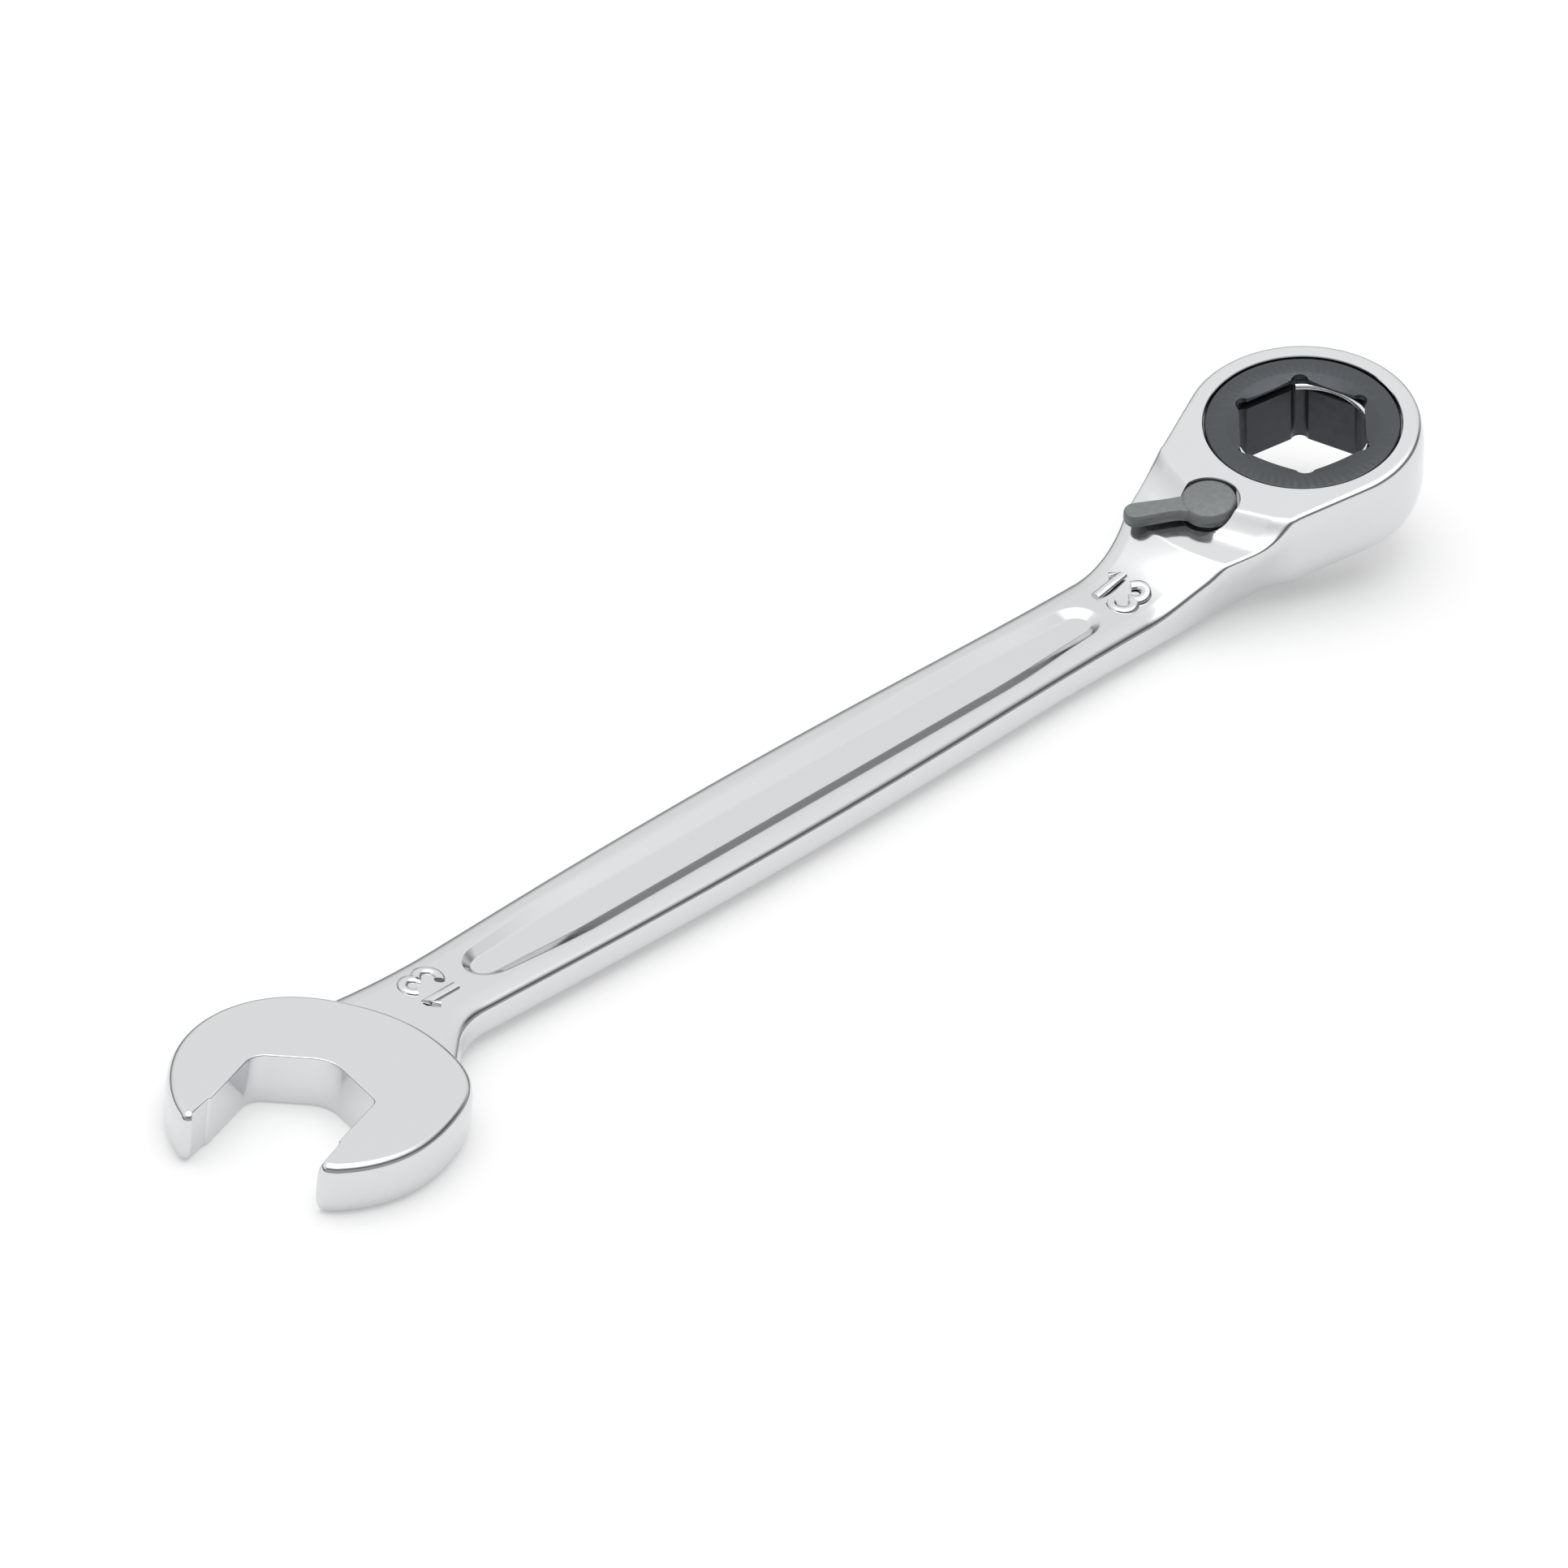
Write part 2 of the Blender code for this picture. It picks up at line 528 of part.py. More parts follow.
def pawl(pawl_axis):
    """Two-ended rocking pawl: one end of its teeth drives, the other clears the gear."""
    steel = make_material("hardened_steel", (0.33, 0.33, 0.34), 1.0, 0.35)
    teeth = pawl_teeth()
    last = math.degrees(math.atan2(teeth[-1][1], teeth[-1][0] - PAWL_PIVOT_U))
    back = math.degrees(math.acos((PAWL_BACK_U - PAWL_PIVOT_U) / PAWL_END_R))
    cradle = math.degrees(math.acos((PAWL_BACK_U - LEVER_U) / PAWL_CRADLE_R))
    lower = arc(PAWL_RELIEF_R, 180.0, 187.5, 2) + teeth + arc(PAWL_END_R, last, -back, 5, PAWL_PIVOT_U)[1:]
    lower += arc(PAWL_CRADLE_R, -cradle, 0.0, 6, LEVER_U)
    upper = [(u, -v) for u, v in reversed(lower[1:-1])]
    outline = [(u - PAWL_PIVOT_U, v) for u, v in lower + upper]
    piece = make_object("pawl", prism(outline, PAWL_BOTTOM, PAWL_TOP), steel, pawl_axis)
    piece.rotation_euler.z = math.radians(PAWL_ROCK)


# ---------------------------------------------------------------- reversing lever

def reversing_lever(lever_axis):
    """Thumb lever: flat disc and arm on a grooved post with a cross hole for the plunger."""
    grey = make_material("sintered_steel", (0.20, 0.21, 0.21), 0.6, 0.5)
    clip_gap = 0.05
    profile = [(0.0, LEVER_TOP), (DISC_R - 0.2, LEVER_TOP), (DISC_R, LEVER_TOP - 0.2),
               (DISC_R, LEVER_BOTTOM), (POST_R, LEVER_BOTTOM), (POST_R, SEAL_H + SEAL_GROOVE_HALF),
               (SEAL_GROOVE_R, SEAL_H + SEAL_GROOVE_HALF), (SEAL_GROOVE_R, SEAL_H - SEAL_GROOVE_HALF),
               (POST_R, SEAL_H - SEAL_GROOVE_HALF), (POST_R, LEVER_CLIP_TOP + clip_gap),
               (POST_GROOVE_R, LEVER_CLIP_TOP + clip_gap), (POST_GROOVE_R, LEVER_CLIP_BOTTOM - clip_gap),
               (POST_R, LEVER_CLIP_BOTTOM - clip_gap), (POST_R, POST_END), (0.0, POST_END)]
    lever = make_object("reversing_lever", turned(profile, 40), grey, lever_axis)
    lever.rotation_euler.z = math.radians(LEVER_REST)
    tip = ARM_REACH - ARM_HALF
    arm = [(1.0, -ARM_HALF)] + arc(ARM_HALF, -90.0, 90.0, 10, tip) + [(1.0, ARM_HALF)]
    thumb = make_object("thumb_arm", prism(arm, ARM_BOTTOM, LEVER_TOP - 0.06), grey, lever)
    use_as_tool(lever, thumb, "UNION")
    hole = turned([(0.0, -2.6), (PLUNGER_BORE_R, -2.6), (PLUNGER_BORE_R, -PLUNGER_BORE_BACK),
                   (0.0, -PLUNGER_BORE_BACK)], 16)
    bmesh.ops.rotate(hole, matrix=Matrix.Rotation(math.radians(90.0), 3, "Y"), verts=hole.verts)
    bmesh.ops.translate(hole, vec=(0.0, 0.0, PLUNGER_H), verts=hole.verts)
    use_as_tool(lever, make_object("plunger_hole", hole, grey, lever), "DIFFERENCE")
    return lever


def lever_seal_ring(lever_axis):
    """Rubber ring in the post's upper groove that keeps grit out of the ratchet."""
    rubber = make_material("black_rubber", (0.02, 0.02, 0.02), 0.0, 0.7)
    section = wire_section(SEAL_RING_R, SEAL_WIRE_R, SEAL_H)
    make_object("lever_seal_ring", turned(section, 32), rubber, lever_axis)


def lever_retaining_clip(lever_axis):
    """Open snap ring that holds the post down in the head."""
    spring_steel = make_material("clip_steel", (0.30, 0.30, 0.31), 1.0, 0.35)
    section = flat_section(LEVER_CLIP_INNER, LEVER_CLIP_OUTER, LEVER_CLIP_BOTTOM, LEVER_CLIP_TOP)
    make_object("lever_retaining_clip", swept(section, 30.0, 330.0, 24), spring_steel, lever_axis)


def pawl_plunger(lever):
    """Round-nosed pin in the post that tips the pawl over."""
    steel = make_material("plunger_steel", (0.55, 0.55, 0.56), 1.0, 0.25)
    nose = [(PLUNGER_R * math.cos(math.radians(a)), PLUNGER_TIP - PLUNGER_R * (1.0 - math.sin(math.radians(a))))
            for a in (0, 22.5, 45, 67.5)]
    pin = turned([(0.0, PLUNGER_BACK), (PLUNGER_R, PLUNGER_BACK)] + nose + [(0.0, PLUNGER_TIP)], 16)
    bmesh.ops.rotate(pin, matrix=Matrix.Rotation(math.radians(-90.0), 3, "Y"), verts=pin.verts)
    bmesh.ops.translate(pin, vec=(0.0, 0.0, PLUNGER_H), verts=pin.verts)
    make_object("pawl_plunger", pin, steel, lever)


def pawl_spring(lever):
    """Small compression spring behind the plunger."""
    steel = make_material("spring_wire", (0.45, 0.45, 0.46), 1.0, 0.3)
    start = PLUNGER_BORE_BACK + 2.0 * SPRING_WIRE_R
    length = PLUNGER_BACK - 2.0 * SPRING_WIRE_R - start
    curve = bpy.data.curves.new("pawl_spring", "CURVE")
    curve.dimensions = "3D"
    curve.bevel_depth = SPRING_WIRE_R * MM
    curve.bevel_resolution = 1
    curve.use_fill_caps = True
    spline = curve.splines.new("POLY")
    per_turn = 12
    count = SPRING_TURNS * per_turn
    spline.points.add(count)
    for i in range(count + 1):
        angle = math.tau * i / per_turn
        along = start + length * i / count
        point = (-along, SPRING_COIL_R * math.cos(angle), PLUNGER_H + SPRING_COIL_R * math.sin(angle))
        spline.points[i].co = (point[0] * MM, point[1] * MM, point[2] * MM, 1.0)
    curve.materials.append(steel)
    spring = bpy.data.objects.new("pawl_spring", curve)
    bpy.context.scene.collection.objects.link(spring)
    spring.parent = lever


def build():
    """Clear the scene and make every piece of the wrench."""
    for obj in list(bpy.data.objects):
        bpy.data.objects.remove(obj)
    place = Matrix.Translation((RING_X * MM, RING_Y * MM, RING_Z * MM))
    tilt = Matrix.Rotation(math.radians(-HEAD_TILT), 4, "Y")
    head = make_frame("head_frame", place @ tilt)
    gear_axis = make_frame("gear_axis", Matrix.Identity(4), head)
    pawl_axis = make_frame("pawl_axis", Matrix.Translation((PAWL_PIVOT_U * MM, 0.0, 0.0)), head)
    lever_axis = make_frame("lever_axis", Matrix.Translation((LEVER_U * MM, 0.0, 0.0)), head)
    wrench_body(head, lever_axis)
    ratchet_gear(gear_axis)
    bolt_stop_ring(gear_axis)
    gear_retaining_clip(head)
    pawl(pawl_axis)
    lever = reversing_lever(lever_axis)
    lever_seal_ring(lever_axis)
    lever_retaining_clip(lever_axis)
    pawl_plunger(lever)
    pawl_spring(lever)


build()
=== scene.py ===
"""Looks, camera and light for a 13 mm reversible ratcheting combination wrench.

Lengths are in millimetres until a mesh is finished.  Pieces of the ring head are drawn in the head's
own frame: U points to the tip, V to the left, H out of the top face, with the gear's axis at 0.
"""

import json
import math

import bmesh
import bpy
from mathutils import Matrix, Vector


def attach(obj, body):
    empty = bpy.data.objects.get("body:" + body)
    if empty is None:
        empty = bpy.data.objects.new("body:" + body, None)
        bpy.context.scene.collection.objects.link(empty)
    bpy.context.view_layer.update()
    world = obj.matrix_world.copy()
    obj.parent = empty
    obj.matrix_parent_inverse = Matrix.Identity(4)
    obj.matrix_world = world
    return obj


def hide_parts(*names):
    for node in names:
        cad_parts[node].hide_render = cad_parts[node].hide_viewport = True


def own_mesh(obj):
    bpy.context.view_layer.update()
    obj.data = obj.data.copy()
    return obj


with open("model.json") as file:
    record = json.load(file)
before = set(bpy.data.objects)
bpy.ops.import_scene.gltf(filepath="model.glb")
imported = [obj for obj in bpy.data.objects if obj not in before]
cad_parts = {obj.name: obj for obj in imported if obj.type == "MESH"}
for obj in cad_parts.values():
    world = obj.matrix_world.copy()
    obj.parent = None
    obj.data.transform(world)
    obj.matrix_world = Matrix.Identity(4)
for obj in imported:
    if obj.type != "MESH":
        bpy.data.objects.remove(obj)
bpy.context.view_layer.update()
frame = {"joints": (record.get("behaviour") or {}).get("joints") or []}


# ---------------------------------------------------------------- wrench body
# Forged chrome-vanadium steel in one piece, ground, polished and chrome plated: open jaw, shaft with a
# rolled groove on both faces, neck stepped down round the ring's axis, and the ring head.

MM = 0.001
TAU = math.tau
joints = {joint["name"]: joint for joint in frame["joints"]}
RING = Vector([round(metres / MM, 2) for metres in joints["gear_spin"]["pos_m"]])
TILT = math.radians(round(math.degrees(math.asin(-joints["gear_spin"]["axis"][0]))))
PLACE = Matrix.Translation(RING) @ Matrix.Rotation(-TILT, 4, "Y")


def axis_u(joint):
    """Where a joint's axis stands on the head's U line."""
    return round((PLACE.inverted() @ (Vector(joints[joint]["pos_m"]) / MM)).x, 2)


LEVER_U = axis_u("lever_turn")
PAWL_U = axis_u("pawl_rock")


def polar(radius, degrees, centre_u=0.0):
    """Point at a direction and distance from a centre on the U axis."""
    return centre_u + radius * math.cos(math.radians(degrees)), radius * math.sin(math.radians(degrees))


def arc(radius, start, end, steps, centre_u=0.0):
    """Points along an arc, both ends included."""
    return [polar(radius, start + (end - start) * i / steps, centre_u) for i in range(steps + 1)]


def ease(value):
    """0 below 0, 1 above 1 and an even S between."""
    value = min(max(value, 0.0), 1.0)
    return value * value * (3.0 - 2.0 * value)


def soft_min(a, b, width):
    """The lower of two heights, with the corner between them rounded."""
    near = max(width - abs(a - b), 0.0) / width
    return min(a, b) - near * near * width / 4.0


def skin(sections):
    """Closed body through loops with the same number of points."""
    bm = bmesh.new()
    rings = [[bm.verts.new(point) for point in section] for section in sections]
    for near, far in zip(rings, rings[1:]):
        for i in range(len(near)):
            bm.faces.new((near[i - 1], near[i], far[i], far[i - 1]))
    bm.faces.new(rings[0])
    bm.faces.new(rings[-1])
    return bm


def prism(outline, low, high):
    """A plan outline raised between two heights."""
    bm = bmesh.new()
    base = bm.faces.new([bm.verts.new((x, y, low)) for x, y in outline])
    raised = bmesh.ops.extrude_face_region(bm, geom=[base])["geom"]
    bmesh.ops.translate(bm, vec=(0.0, 0.0, high - low), verts=[part for part in raised
                                                               if isinstance(part, bmesh.types.BMVert)])
    return bm


def turned(profile, steps=96):
    """A closed (radius, height) profile spun about Z."""
    bm = bmesh.new()
    verts = [bm.verts.new((radius, 0.0, height)) for radius, height in profile]
    edges = [bm.edges.new((verts[i - 1], verts[i])) for i in range(len(verts))
             if profile[i - 1][0] > 0.0 or profile[i][0] > 0.0]
    bmesh.ops.spin(bm, geom=verts + edges, cent=(0, 0, 0), axis=(0, 0, 1), angle=TAU, steps=steps,
                   use_merge=True)
    bmesh.ops.remove_doubles(bm, verts=bm.verts, dist=1e-5)
    return bm


def rounded(points, radii, steps=6):
    """A polygon whose corners are rounded by the given radii."""
    outline = []
    for i, (point, radius) in enumerate(zip(points, radii)):
        corner = Vector(point)
        if radius == 0.0:
            outline.append(tuple(corner))
            continue
        before = (Vector(points[i - 1]) - corner).normalized()
        after = (Vector(points[(i + 1) % len(points)]) - corner).normalized()
        half = before.angle(after) / 2.0
        centre = corner + (before + after).normalized() * radius / math.sin(half)
        start = corner + before * radius / math.tan(half) - centre
        end = corner + after * radius / math.tan(half) - centre
        for step in range(steps + 1):
            spoke = start.lerp(end, step / steps).normalized() * radius
            outline.append(tuple(centre + spoke))
    return outline


def new_object(name, bm, matrix=Matrix.Identity(4)):
    """Object at the origin, in metres, from a bmesh drawn in millimetres in some frame."""
    bmesh.ops.transform(bm, matrix=Matrix.Scale(MM, 4) @ matrix, verts=bm.verts)
    bmesh.ops.recalc_face_normals(bm, faces=bm.faces)
    if bm.calc_volume(signed=True) < 0.0:
        bmesh.ops.reverse_faces(bm, faces=bm.faces)
    mesh = bpy.data.meshes.new(name)
    bm.to_mesh(mesh)
    bm.free()
    obj = bpy.data.objects.new(name, mesh)
    bpy.context.scene.collection.objects.link(obj)
    return obj


def combine(obj, tools):
    """Join or cut with each (tool, operation) in turn and keep only the result."""
    for tool, operation in tools:
        step = obj.modifiers.new(tool.name, "BOOLEAN")
        step.operation = operation
        step.object = tool
        step.solver = "EXACT"
    depsgraph = bpy.context.evaluated_depsgraph_get()
    result = bpy.data.meshes.new_from_object(obj.evaluated_get(depsgraph))
    obj.modifiers.clear()
    obj.data = result
    for tool, operation in tools:
        bpy.data.objects.remove(tool)


def finish_piece(obj, body, material, replaced, sharp=32.0):
    """Shade a piece, give it its material and hang it on its body."""
    mesh = obj.data
    mesh.shade_smooth()
    mesh.set_sharp_from_angle(angle=math.radians(sharp))
    weigh = obj.modifiers.new("even_normals", "WEIGHTED_NORMAL")
    weigh.keep_sharp = True
    weigh.weight = 80
    mesh.materials.clear()
    mesh.materials.append(material)
    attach(obj, body)
    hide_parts(*replaced)
    return obj


# The chrome, and the unevenness that every metal of this tool shares.


def node_group(name, inputs, outputs):
    """An empty shader group with the named sockets."""
    group = bpy.data.node_groups.new(name, "ShaderNodeTree")
    for label, kind, value in inputs:
        socket = group.interface.new_socket(label, in_out="INPUT", socket_type=kind)
        socket.default_value = value
    for label, kind in outputs:
        group.interface.new_socket(label, in_out="OUTPUT", socket_type=kind)
    return group, group.nodes.new("NodeGroupInput"), group.nodes.new("NodeGroupOutput")


def mottle_group():
    """Cloudy unevenness of a polished or cast skin: a roughness value and a shallow normal."""
    group, given, result = node_group(
        "mottle", [("Scale", "NodeSocketFloat", 300.0), ("Low", "NodeSocketFloat", 0.1),
                   ("High", "NodeSocketFloat", 0.2), ("Depth", "NodeSocketFloat", 0.02)],
        [("Roughness", "NodeSocketFloat"), ("Normal", "NodeSocketVector")])
    link = group.links.new
    place = group.nodes.new("ShaderNodeTexCoord")
    cloud = group.nodes.new("ShaderNodeTexNoise")
    cloud.inputs["Detail"].default_value = 3.0
    spread = group.nodes.new("ShaderNodeMapRange")
    spread.inputs["From Min"].default_value = 0.35
    spread.inputs["From Max"].default_value = 0.65
    bump = group.nodes.new("ShaderNodeBump")
    bump.inputs["Distance"].default_value = 0.0002
    link(place.outputs["Object"], cloud.inputs["Vector"])
    link(given.outputs["Scale"], cloud.inputs["Scale"])
    link(cloud.outputs["Fac"], spread.inputs["Value"])
    link(given.outputs["Low"], spread.inputs["To Min"])
    link(given.outputs["High"], spread.inputs["To Max"])
    link(given.outputs["Depth"], bump.inputs["Strength"])
    link(cloud.outputs["Fac"], bump.inputs["Height"])
    link(spread.outputs["Result"], result.inputs["Roughness"])
    link(bump.outputs["Normal"], result.inputs["Normal"])
    return group


MOTTLE = mottle_group()


def metal(name, colour, metallic, scale, low, high, depth):
    """Principled metal with an uneven sheen."""
    material = bpy.data.materials.new(name)
    material.use_nodes = True
    nodes = material.node_tree.nodes
    shader = nodes["Principled BSDF"]
    shader.inputs["Base Color"].default_value = (*colour, 1.0)
    shader.inputs["Metallic"].default_value = metallic
    effect = nodes.new("ShaderNodeGroup")
    effect.node_tree = MOTTLE
    for label, value in (("Scale", scale), ("Low", low), ("High", high), ("Depth", depth)):
        effect.inputs[label].default_value = value
    material.node_tree.links.new(effect.outputs["Roughness"], shader.inputs["Roughness"])
    material.node_tree.links.new(effect.outputs["Normal"], shader.inputs["Normal"])
    return material


# Sizes of the forging, and the heights of its edges above the floor.

EDGE_R = 0.40
PANEL_Z = 4.60
LOW_PANEL_Z, LOW_EDGE_Z = 0.80, 1.00
BORDER, ROLL, PANEL_IN = 1.70, 1.05, 1.85
HEAD_R, HEAD_LOW_R, HEAD_THICK, BARREL = 12.12, 12.00, 8.80, 0.62
FLANK = math.radians(18.0)
SHELF_H, FILLET_R, FILLET_END, RIDGE_R, RAMP_END = -1.85, 4.00, 18.90, 21.40, 31.00
SADDLE_X, SADDLE_RISE = -11.6, 0.2126
SHAFT_MIDDLE_X, SHAFT_MIDDLE_HALF, SHAFT_WAIST = -84.0, 5.78, 1.85
RING_END_HALF, JAW_END_HALF = 4.95, 4.55
LEFT_FLARE_X, LEFT_FLARE_R = -126.0, 110.0
RIGHT_FLARE_X, RIGHT_FLARE_R, RIGHT_FLARE_BEND = -129.5, 9.5, 5.85
INSETS = (EDGE_R, 0.60, 0.80, ROLL, 1.55, BORDER, PANEL_IN)


def to_head(x, z):
    """(u, h) in the head's frame from x and z measured from the ring's centre."""
    return x * math.cos(TILT) + z * math.sin(TILT), z * math.cos(TILT) - x * math.sin(TILT)


def from_head(u, h):
    """x and z from the ring's centre, from (u, h)."""
    return u * math.cos(TILT) - h * math.sin(TILT), u * math.sin(TILT) + h * math.cos(TILT)


def shaft_half(x):
    """Half the shaft's width: widest in the middle, slimmer at both ends."""
    along = (x - SHAFT_MIDDLE_X) / 60.0
    middle = SHAFT_MIDDLE_HALF - SHAFT_WAIST * along * along
    end = RING_END_HALF if x > -80.0 else JAW_END_HALF
    return -soft_min(-middle, -end, 0.6)


def flare(x, side):
    """Sideways growth toward the jaw: a slow curve on the left and a tight one on the right."""
    if side > 0:
        reach = max(LEFT_FLARE_X - x, 0.0)
        return LEFT_FLARE_R - math.sqrt(LEFT_FLARE_R ** 2 - reach * reach)
    reach = max(RIGHT_FLARE_X - x, 0.0)
    bend = min(reach, RIGHT_FLARE_BEND)
    return RIGHT_FLARE_R - math.sqrt(RIGHT_FLARE_R ** 2 - bend * bend) + (reach - bend) * 0.78


def barrel(h):
    """Crown of the head's side wall at a height below its top."""
    level = (h + HEAD_THICK / 2.0) / (HEAD_THICK / 2.0)
    return BARREL * max(1.0 - level * level, 0.0)


def top_half(x, h, side):
    """Half-width of the top edge at a place along the wrench."""
    fade = 1.0 - 0.6 * ease((-17.0 - x) / 8.0)
    neck = 12.74 + 0.325 * x + barrel(h) * fade
    shaft = shaft_half(x)
    if x < -34.0:
        return shaft + flare(x, side)
    return -soft_min(-neck, -shaft, 1.2)


def low_half(x, side):
    """Half-width of the bottom edge."""
    taper = (HEAD_LOW_R + (x - 1.83) / math.cos(TILT) * math.sin(FLANK)) / math.cos(FLANK)
    shaft = shaft_half(x) + 0.1 + 0.35 * ease((x + 44.0) / 24.0)
    share = ease((-9.0 - x) / 8.5)
    return taper * (1.0 - share) + shaft * share + flare(x, side)


def low_z(x):
    """Height of the bottom edge line, from the wrench's base."""
    plane = RING.z + (x * math.sin(TILT) - HEAD_THICK) / math.cos(TILT)
    if x > SADDLE_X:
        return plane
    drop = ease((SADDLE_X - x) / 4.6)
    start = RING.z + (SADDLE_X * math.sin(TILT) - HEAD_THICK) / math.cos(TILT)
    return max(LOW_EDGE_Z, (start + SADDLE_RISE * (x - SADDLE_X)) * (1.0 - drop) + LOW_EDGE_Z * drop)


def top_surface(rho, y):
    """(x, z from the ring's centre) of the stepped top, at a distance from the gear's axis."""
    u = -math.sqrt(max(rho * rho - y * y, 0.01))
    if rho < RIDGE_R + 1.2:
        inside = min(max(FILLET_END - rho, 0.0), FILLET_R - 0.02)
        fillet = SHELF_H + FILLET_R - math.sqrt(FILLET_R ** 2 - inside * inside)
        h = soft_min(0.0, fillet, 1.10)
    else:
        h = SHELF_H
    x, z = from_head(u, h)
    if rho > RIDGE_R - 1.2:
        ridge_u = -math.sqrt(RIDGE_R ** 2 - y * y)
        ridge_z = from_head(ridge_u, SHELF_H)[1]
        panel = PANEL_Z - RING.z
        share = min(max((RAMP_END - rho) / (RAMP_END - RIDGE_R), 0.0), 1.2)
        ramp = panel + (ridge_z - panel) * share * share
        z = soft_min(z, ramp, 0.10)
    return x, z


def bezier_round(start, corner, end, steps=4):
    """Quarter-round between two points, pulled toward their corner."""
    points = []
    for i in range(1, steps):
        t = i / steps
        w = 0.7071
        a, b, c = (1 - t) ** 2, 2 * w * t * (1 - t), t * t
        points.append((start * a + corner * b + end * c) / (a + b + c))
    return points


def edge_drop(inset, border):
    """Fall of the top at a distance inside its edge: a sloping strip that rolls over at the end."""
    roll = max(1.0 - inset / ROLL, 0.0)
    return border * (0.2 * max(1.0 - inset / BORDER, 0.0) + 0.15 * roll * roll)


def head_station(degrees):
    """Section through the ring head at a direction from the gear's axis."""
    def point(radius, h, side, share=1.0):
        """Point of the head at a radius and height; a share under 1 pulls it toward the middle."""
        u, v = polar(radius, degrees)
        x, z = from_head(u, h)
        return RING + Vector((x, side * v * share, z))
    section = {}
    for side in (1, -1):
        section["top", side] = [point(HEAD_R - d, 0.0, side) for d in INSETS]
        section["top", side] += [point(HEAD_R - PANEL_IN, 0.0, side, 0.5)]
        section["low", side] = [point(HEAD_LOW_R - d, -HEAD_THICK, side) for d in INSETS]
        section["low", side] += [point(HEAD_LOW_R - PANEL_IN - 0.2, -HEAD_THICK, side, 0.5)]
        section["T", side] = point(HEAD_R, 0.0, side)
        section["B", side] = point(HEAD_LOW_R, -HEAD_THICK, side)
    section["top", 0] = point(HEAD_R - PANEL_IN, 0.0, 1, 0.0)
    section["low", 0] = point(HEAD_LOW_R - PANEL_IN - 0.3, -HEAD_THICK, 1, 0.0)
    return section


def low_points(x, section, side, border):
    """Bottom edge and bottom strip of a section."""
    half = low_half(x, side)
    z = low_z(x)
    section["B", side] = Vector((RING.x + x, RING.y + side * half, z))
    row = []
    for d in INSETS:
        rise = border * 0.2 * min(d / BORDER, 1.0)
        row.append(Vector((RING.x + x, RING.y + side * (half - d), z - rise)))
    row.append(Vector((RING.x + x, RING.y + side * (half - PANEL_IN) / 2.0, z - border * 0.2)))
    section["low", side] = row
    section["low", 0] = Vector((RING.x + x, RING.y, z - border * 0.2))


def neck_station(rho, bend, border):
    """Section along an arc about the gear's axis; bend 0 straightens it."""
    half = 8.0
    for _ in range(8):
        x, z = top_surface(rho, half)
        u, h = to_head(x, z)
        half = min(top_half(x, h, 1), rho - 0.5)
    edge_x = x

    def point(y, drop):
        """Point of the stepped top, lowered by a drop."""
        x, z = top_surface(rho, y)
        if bend < 1.0:
            x = edge_x + (x - edge_x) * bend
        return RING + Vector((x, y, z - drop))
    section = {}
    for side in (1, -1):
        section["T", side] = point(side * half, edge_drop(0.0, border))
        row = [point(side * (half - d), edge_drop(d, border)) for d in INSETS]
        section["top", side] = row + [point(side * (half - PANEL_IN) / 2.0, 0.0)]
        low_x = edge_x + 1.83 * (1.0 - ease((-13.0 - edge_x) / 13.0))
        low_points(low_x, section, side, ease((-13.0 - edge_x) / 5.0))
    section["top", 0] = point(0.0, 0.0)
    return section


def plateau_station(u, bend):
    """Section across the flat top between the ring and the step."""
    half = (HEAD_R + u * math.sin(FLANK)) / math.cos(FLANK)
    rho = math.hypot(u, half)

    def point(y):
        """Point of the flat top on a line that bends from straight to round."""
        at = u + (-math.sqrt(max(rho * rho - y * y, 0.0)) - u) * bend
        x, z = from_head(at, 0.0)
        return RING + Vector((x, y, z))
    section = {}
    x = from_head(u, -HEAD_THICK)[0]
    for side in (1, -1):
        section["T", side] = point(side * half)
        section["top", side] = [point(side * (half - d)) for d in INSETS]
        section["top", side] += [point(side * (half - PANEL_IN) / 2.0)]
        low_points(x, section, side, 0.0)
    section["top", 0] = point(0.0)
    return section


def shaft_station(x, bend):
    """Straight section of the shaft; bend keeps some of the neck's curve."""
    section = {}
    z = PANEL_Z

    def point(y, half, drop):
        """Point of the shaft's panel, lowered by a drop."""
        at = x - bend * (math.sqrt(RAMP_END ** 2 - y * y) - math.sqrt(RAMP_END ** 2 - half * half))
        return Vector((RING.x + at, RING.y + y, z - drop))
    for side in (1, -1):
        half = top_half(x, -8.0, side)
        section["T", side] = point(side * half, half, edge_drop(0.0, 1.0))
        row = [point(side * (half - d), half, edge_drop(d, 1.0)) for d in INSETS]
        section["top", side] = row + [point(side * (half - PANEL_IN) / 2.0, half, 0.0)]
        low_points(x, section, side, 1.0)
    section["top", 0] = point(0.0, top_half(x, -8.0, 1), 0.0)
    return section


